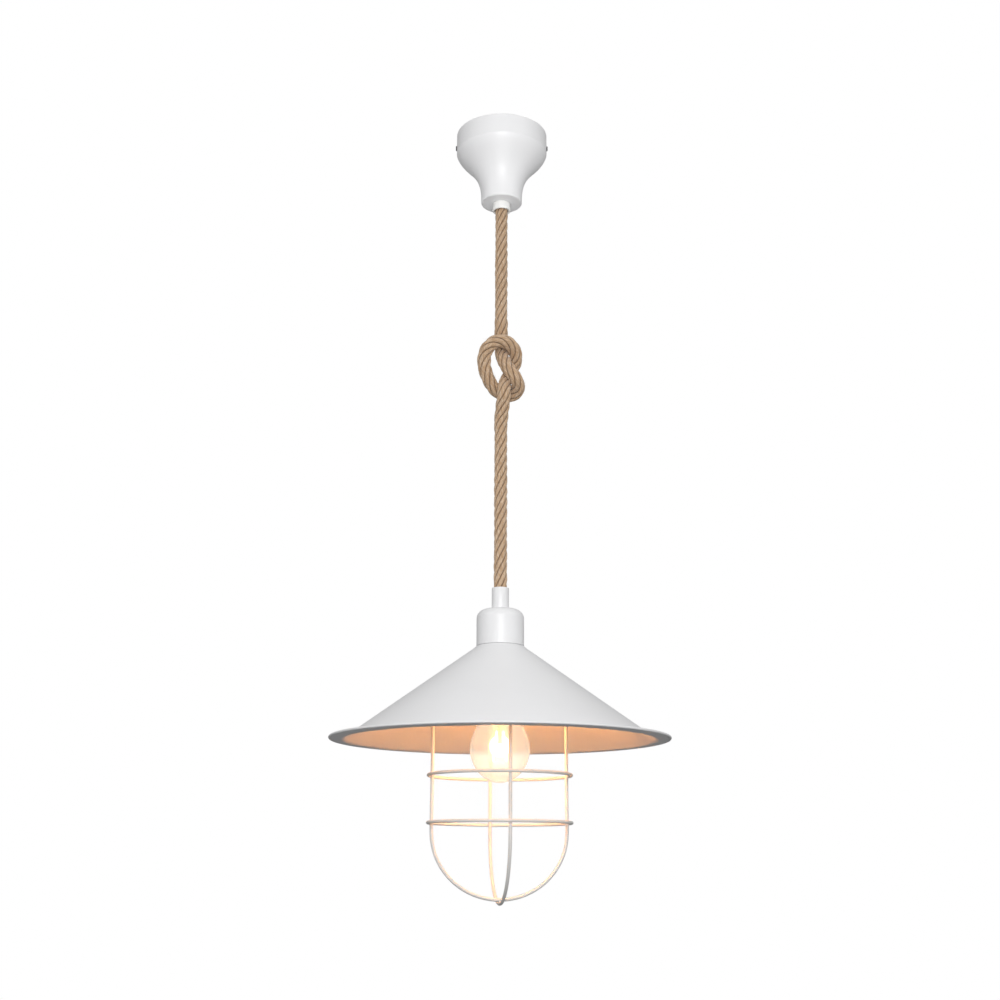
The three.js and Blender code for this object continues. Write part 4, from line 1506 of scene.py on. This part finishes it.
@dataclass
class Studio:
    """Camera, pale floor, white surround and soft lamps."""

    eye: tuple = (-0.0007, -1.351, -0.7968)
    pitch: float = 15.4
    roll: float = 0.18
    lens: float = 48.24
    floor: float = -2.4
    surround: float = 0.31

    def set_camera(self) -> None:
        """Stand the camera in front, a little below the shade's rim, looking up, with a slight roll."""
        data = bpy.data.cameras.new("camera")
        data.lens, data.sensor_width = self.lens, 36.0
        camera = bpy.data.objects.new("camera", data)
        camera.location = self.eye
        tilt, roll = math.radians(90 + self.pitch), math.radians(self.roll)
        camera.rotation_euler = (tilt, -roll * math.sin(tilt), roll * math.cos(tilt))
        bpy.context.scene.collection.objects.link(camera)
        bpy.context.scene.camera = camera

    def set_world(self) -> None:
        """White to the eye and through glass; a dimmer, top-lit surround for the light that it gives."""
        world = bpy.data.worlds.new("surround")
        bpy.context.scene.world = world
        world.use_nodes = True
        tree = world.node_tree
        tree.nodes.clear()
        way = add_node(tree, "ShaderNodeTexCoord").outputs["Generated"]
        up = add_node(tree, "ShaderNodeSeparateXYZ", links={0: way}).outputs[2]
        shares = {"From Min": -1.0, "To Min": 0.08, "To Max": 2 * self.surround}
        rise = add_node(tree, "ShaderNodeMapRange", shares, {"Value": up})
        soft = add_node(tree, "ShaderNodeBackground", {0: (1, 1, 1, 1)}, {1: rise.outputs[0]})
        plain = add_node(tree, "ShaderNodeBackground", {0: (1, 1, 1, 1), 1: 1.0})
        path = add_node(tree, "ShaderNodeLightPath")
        rays = {0: path.outputs["Is Camera Ray"], 1: path.outputs["Is Transmission Ray"]}
        seen = add_node(tree, "ShaderNodeMath", {"operation": "MAXIMUM"}, rays)
        parts = {0: seen.outputs[0], 1: soft.outputs[0], 2: plain.outputs[0]}
        both = add_node(tree, "ShaderNodeMixShader", links=parts)
        add_node(tree, "ShaderNodeOutputWorld", links={0: both.outputs[0]})

    def set_lamp(self, name: str, place: tuple, aim: tuple, size: float, power: float) -> bpy.types.Object:
        """Hang one square soft lamp at a place, aimed at a point, and return it.

        Args:
            name: lamp name.
            place: where it hangs, in metres.
            aim: point that it faces, in metres.
            size: its side in metres.
            power: watts.

        Returns:
            The lamp.
        """
        data = bpy.data.lights.new(name, "AREA")
        data.shape, data.size, data.energy = "SQUARE", size, power
        lamp = bpy.data.objects.new(name, data)
        lamp.location = place
        way = np.asarray(aim, float) - np.asarray(place, float)
        tilt = math.acos(-way[2] / np.linalg.norm(way))
        lamp.rotation_euler = (tilt, 0, math.atan2(way[1], way[0]) - math.pi / 2)
        lamp.visible_camera = False
        bpy.context.scene.collection.objects.link(lamp)
        return lamp

    def set_floor(self) -> None:
        """Lay a pale painted floor well under the lantern; it takes no part in lighting it."""
        edge, thick = 14000.0, 20.0
        z = self.floor / MM
        corners = np.array([(-edge, -edge), (edge, -edge), (edge, edge), (-edge, edge)])
        low = np.column_stack([corners, np.full(4, z - thick)])
        high = np.column_stack([corners, np.full(4, z)])
        paint = PowderCoat("pale_painted_floor", "#fafafa", "#f7f7f7", 0.6)
        slab = Shape.tube(np.stack([low, high])).place("floor", paint)
        tree = slab.data.materials[0].node_tree
        shader = next(n for n in tree.nodes if n.type == "BSDF_PRINCIPLED")
        shader.inputs["Emission Color"].default_value = (1, 1, 1, 1)
        shader.inputs["Emission Strength"].default_value = 1.0
        slab.visible_diffuse = slab.visible_glossy = False

    def build(self, canopy: bpy.types.Collection) -> None:
        """Set up everything but the camera; canopy holds the pieces that the lamp under it lights.

        Args:
            canopy: the pieces that the lamp under it lights.
        """
        self.set_world()
        self.set_floor()
        self.set_lamp("front_softbox", (0.08, -1.9, -0.5), (0, 0, -0.25), 0.6, 17)
        self.set_lamp("canopy_fill", (0.02, -0.75, -0.56), (0, -0.45, 0.05), 0.4, 1.0)
        under = self.set_lamp("canopy_under_fill", (0, -0.5, -1.3), (0, 0, -0.1), 0.5, 4.5)
        under.light_linking.receiver_collection = canopy
        self.set_lamp("left_softbox", (-1.7, -1.2, 0.5), (0, 0, -0.5), 0.9, 4)
        self.set_lamp("right_softbox", (1.7, -1.2, 0.5), (0, 0, -0.5), 0.9, 5)
        scene = bpy.context.scene
        scene.view_settings.view_transform = "Standard"
        scene.view_settings.look = "None"


def main() -> None:
    """Build the lantern in order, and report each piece."""
    logging.basicConfig(level=logging.INFO, format="%(message)s")
    studio = Studio()
    studio.set_camera()
    canopy = bpy.data.collections.new("canopy_pieces")
    for group in (LaidRope(), CeilingCanopy(), LampHead(), WireGuard(), Bulb()):
        for made in group.build():
            if isinstance(group, CeilingCanopy):
                canopy.objects.link(made)
            log.info("%s: %s, %d faces", type(group).__name__, made.name, len(made.data.polygons))
    log.info("carried-over nodes dressed: %d", CarriedParts().dress())
    studio.build(canopy)


if __name__ == "__main__":
    main()
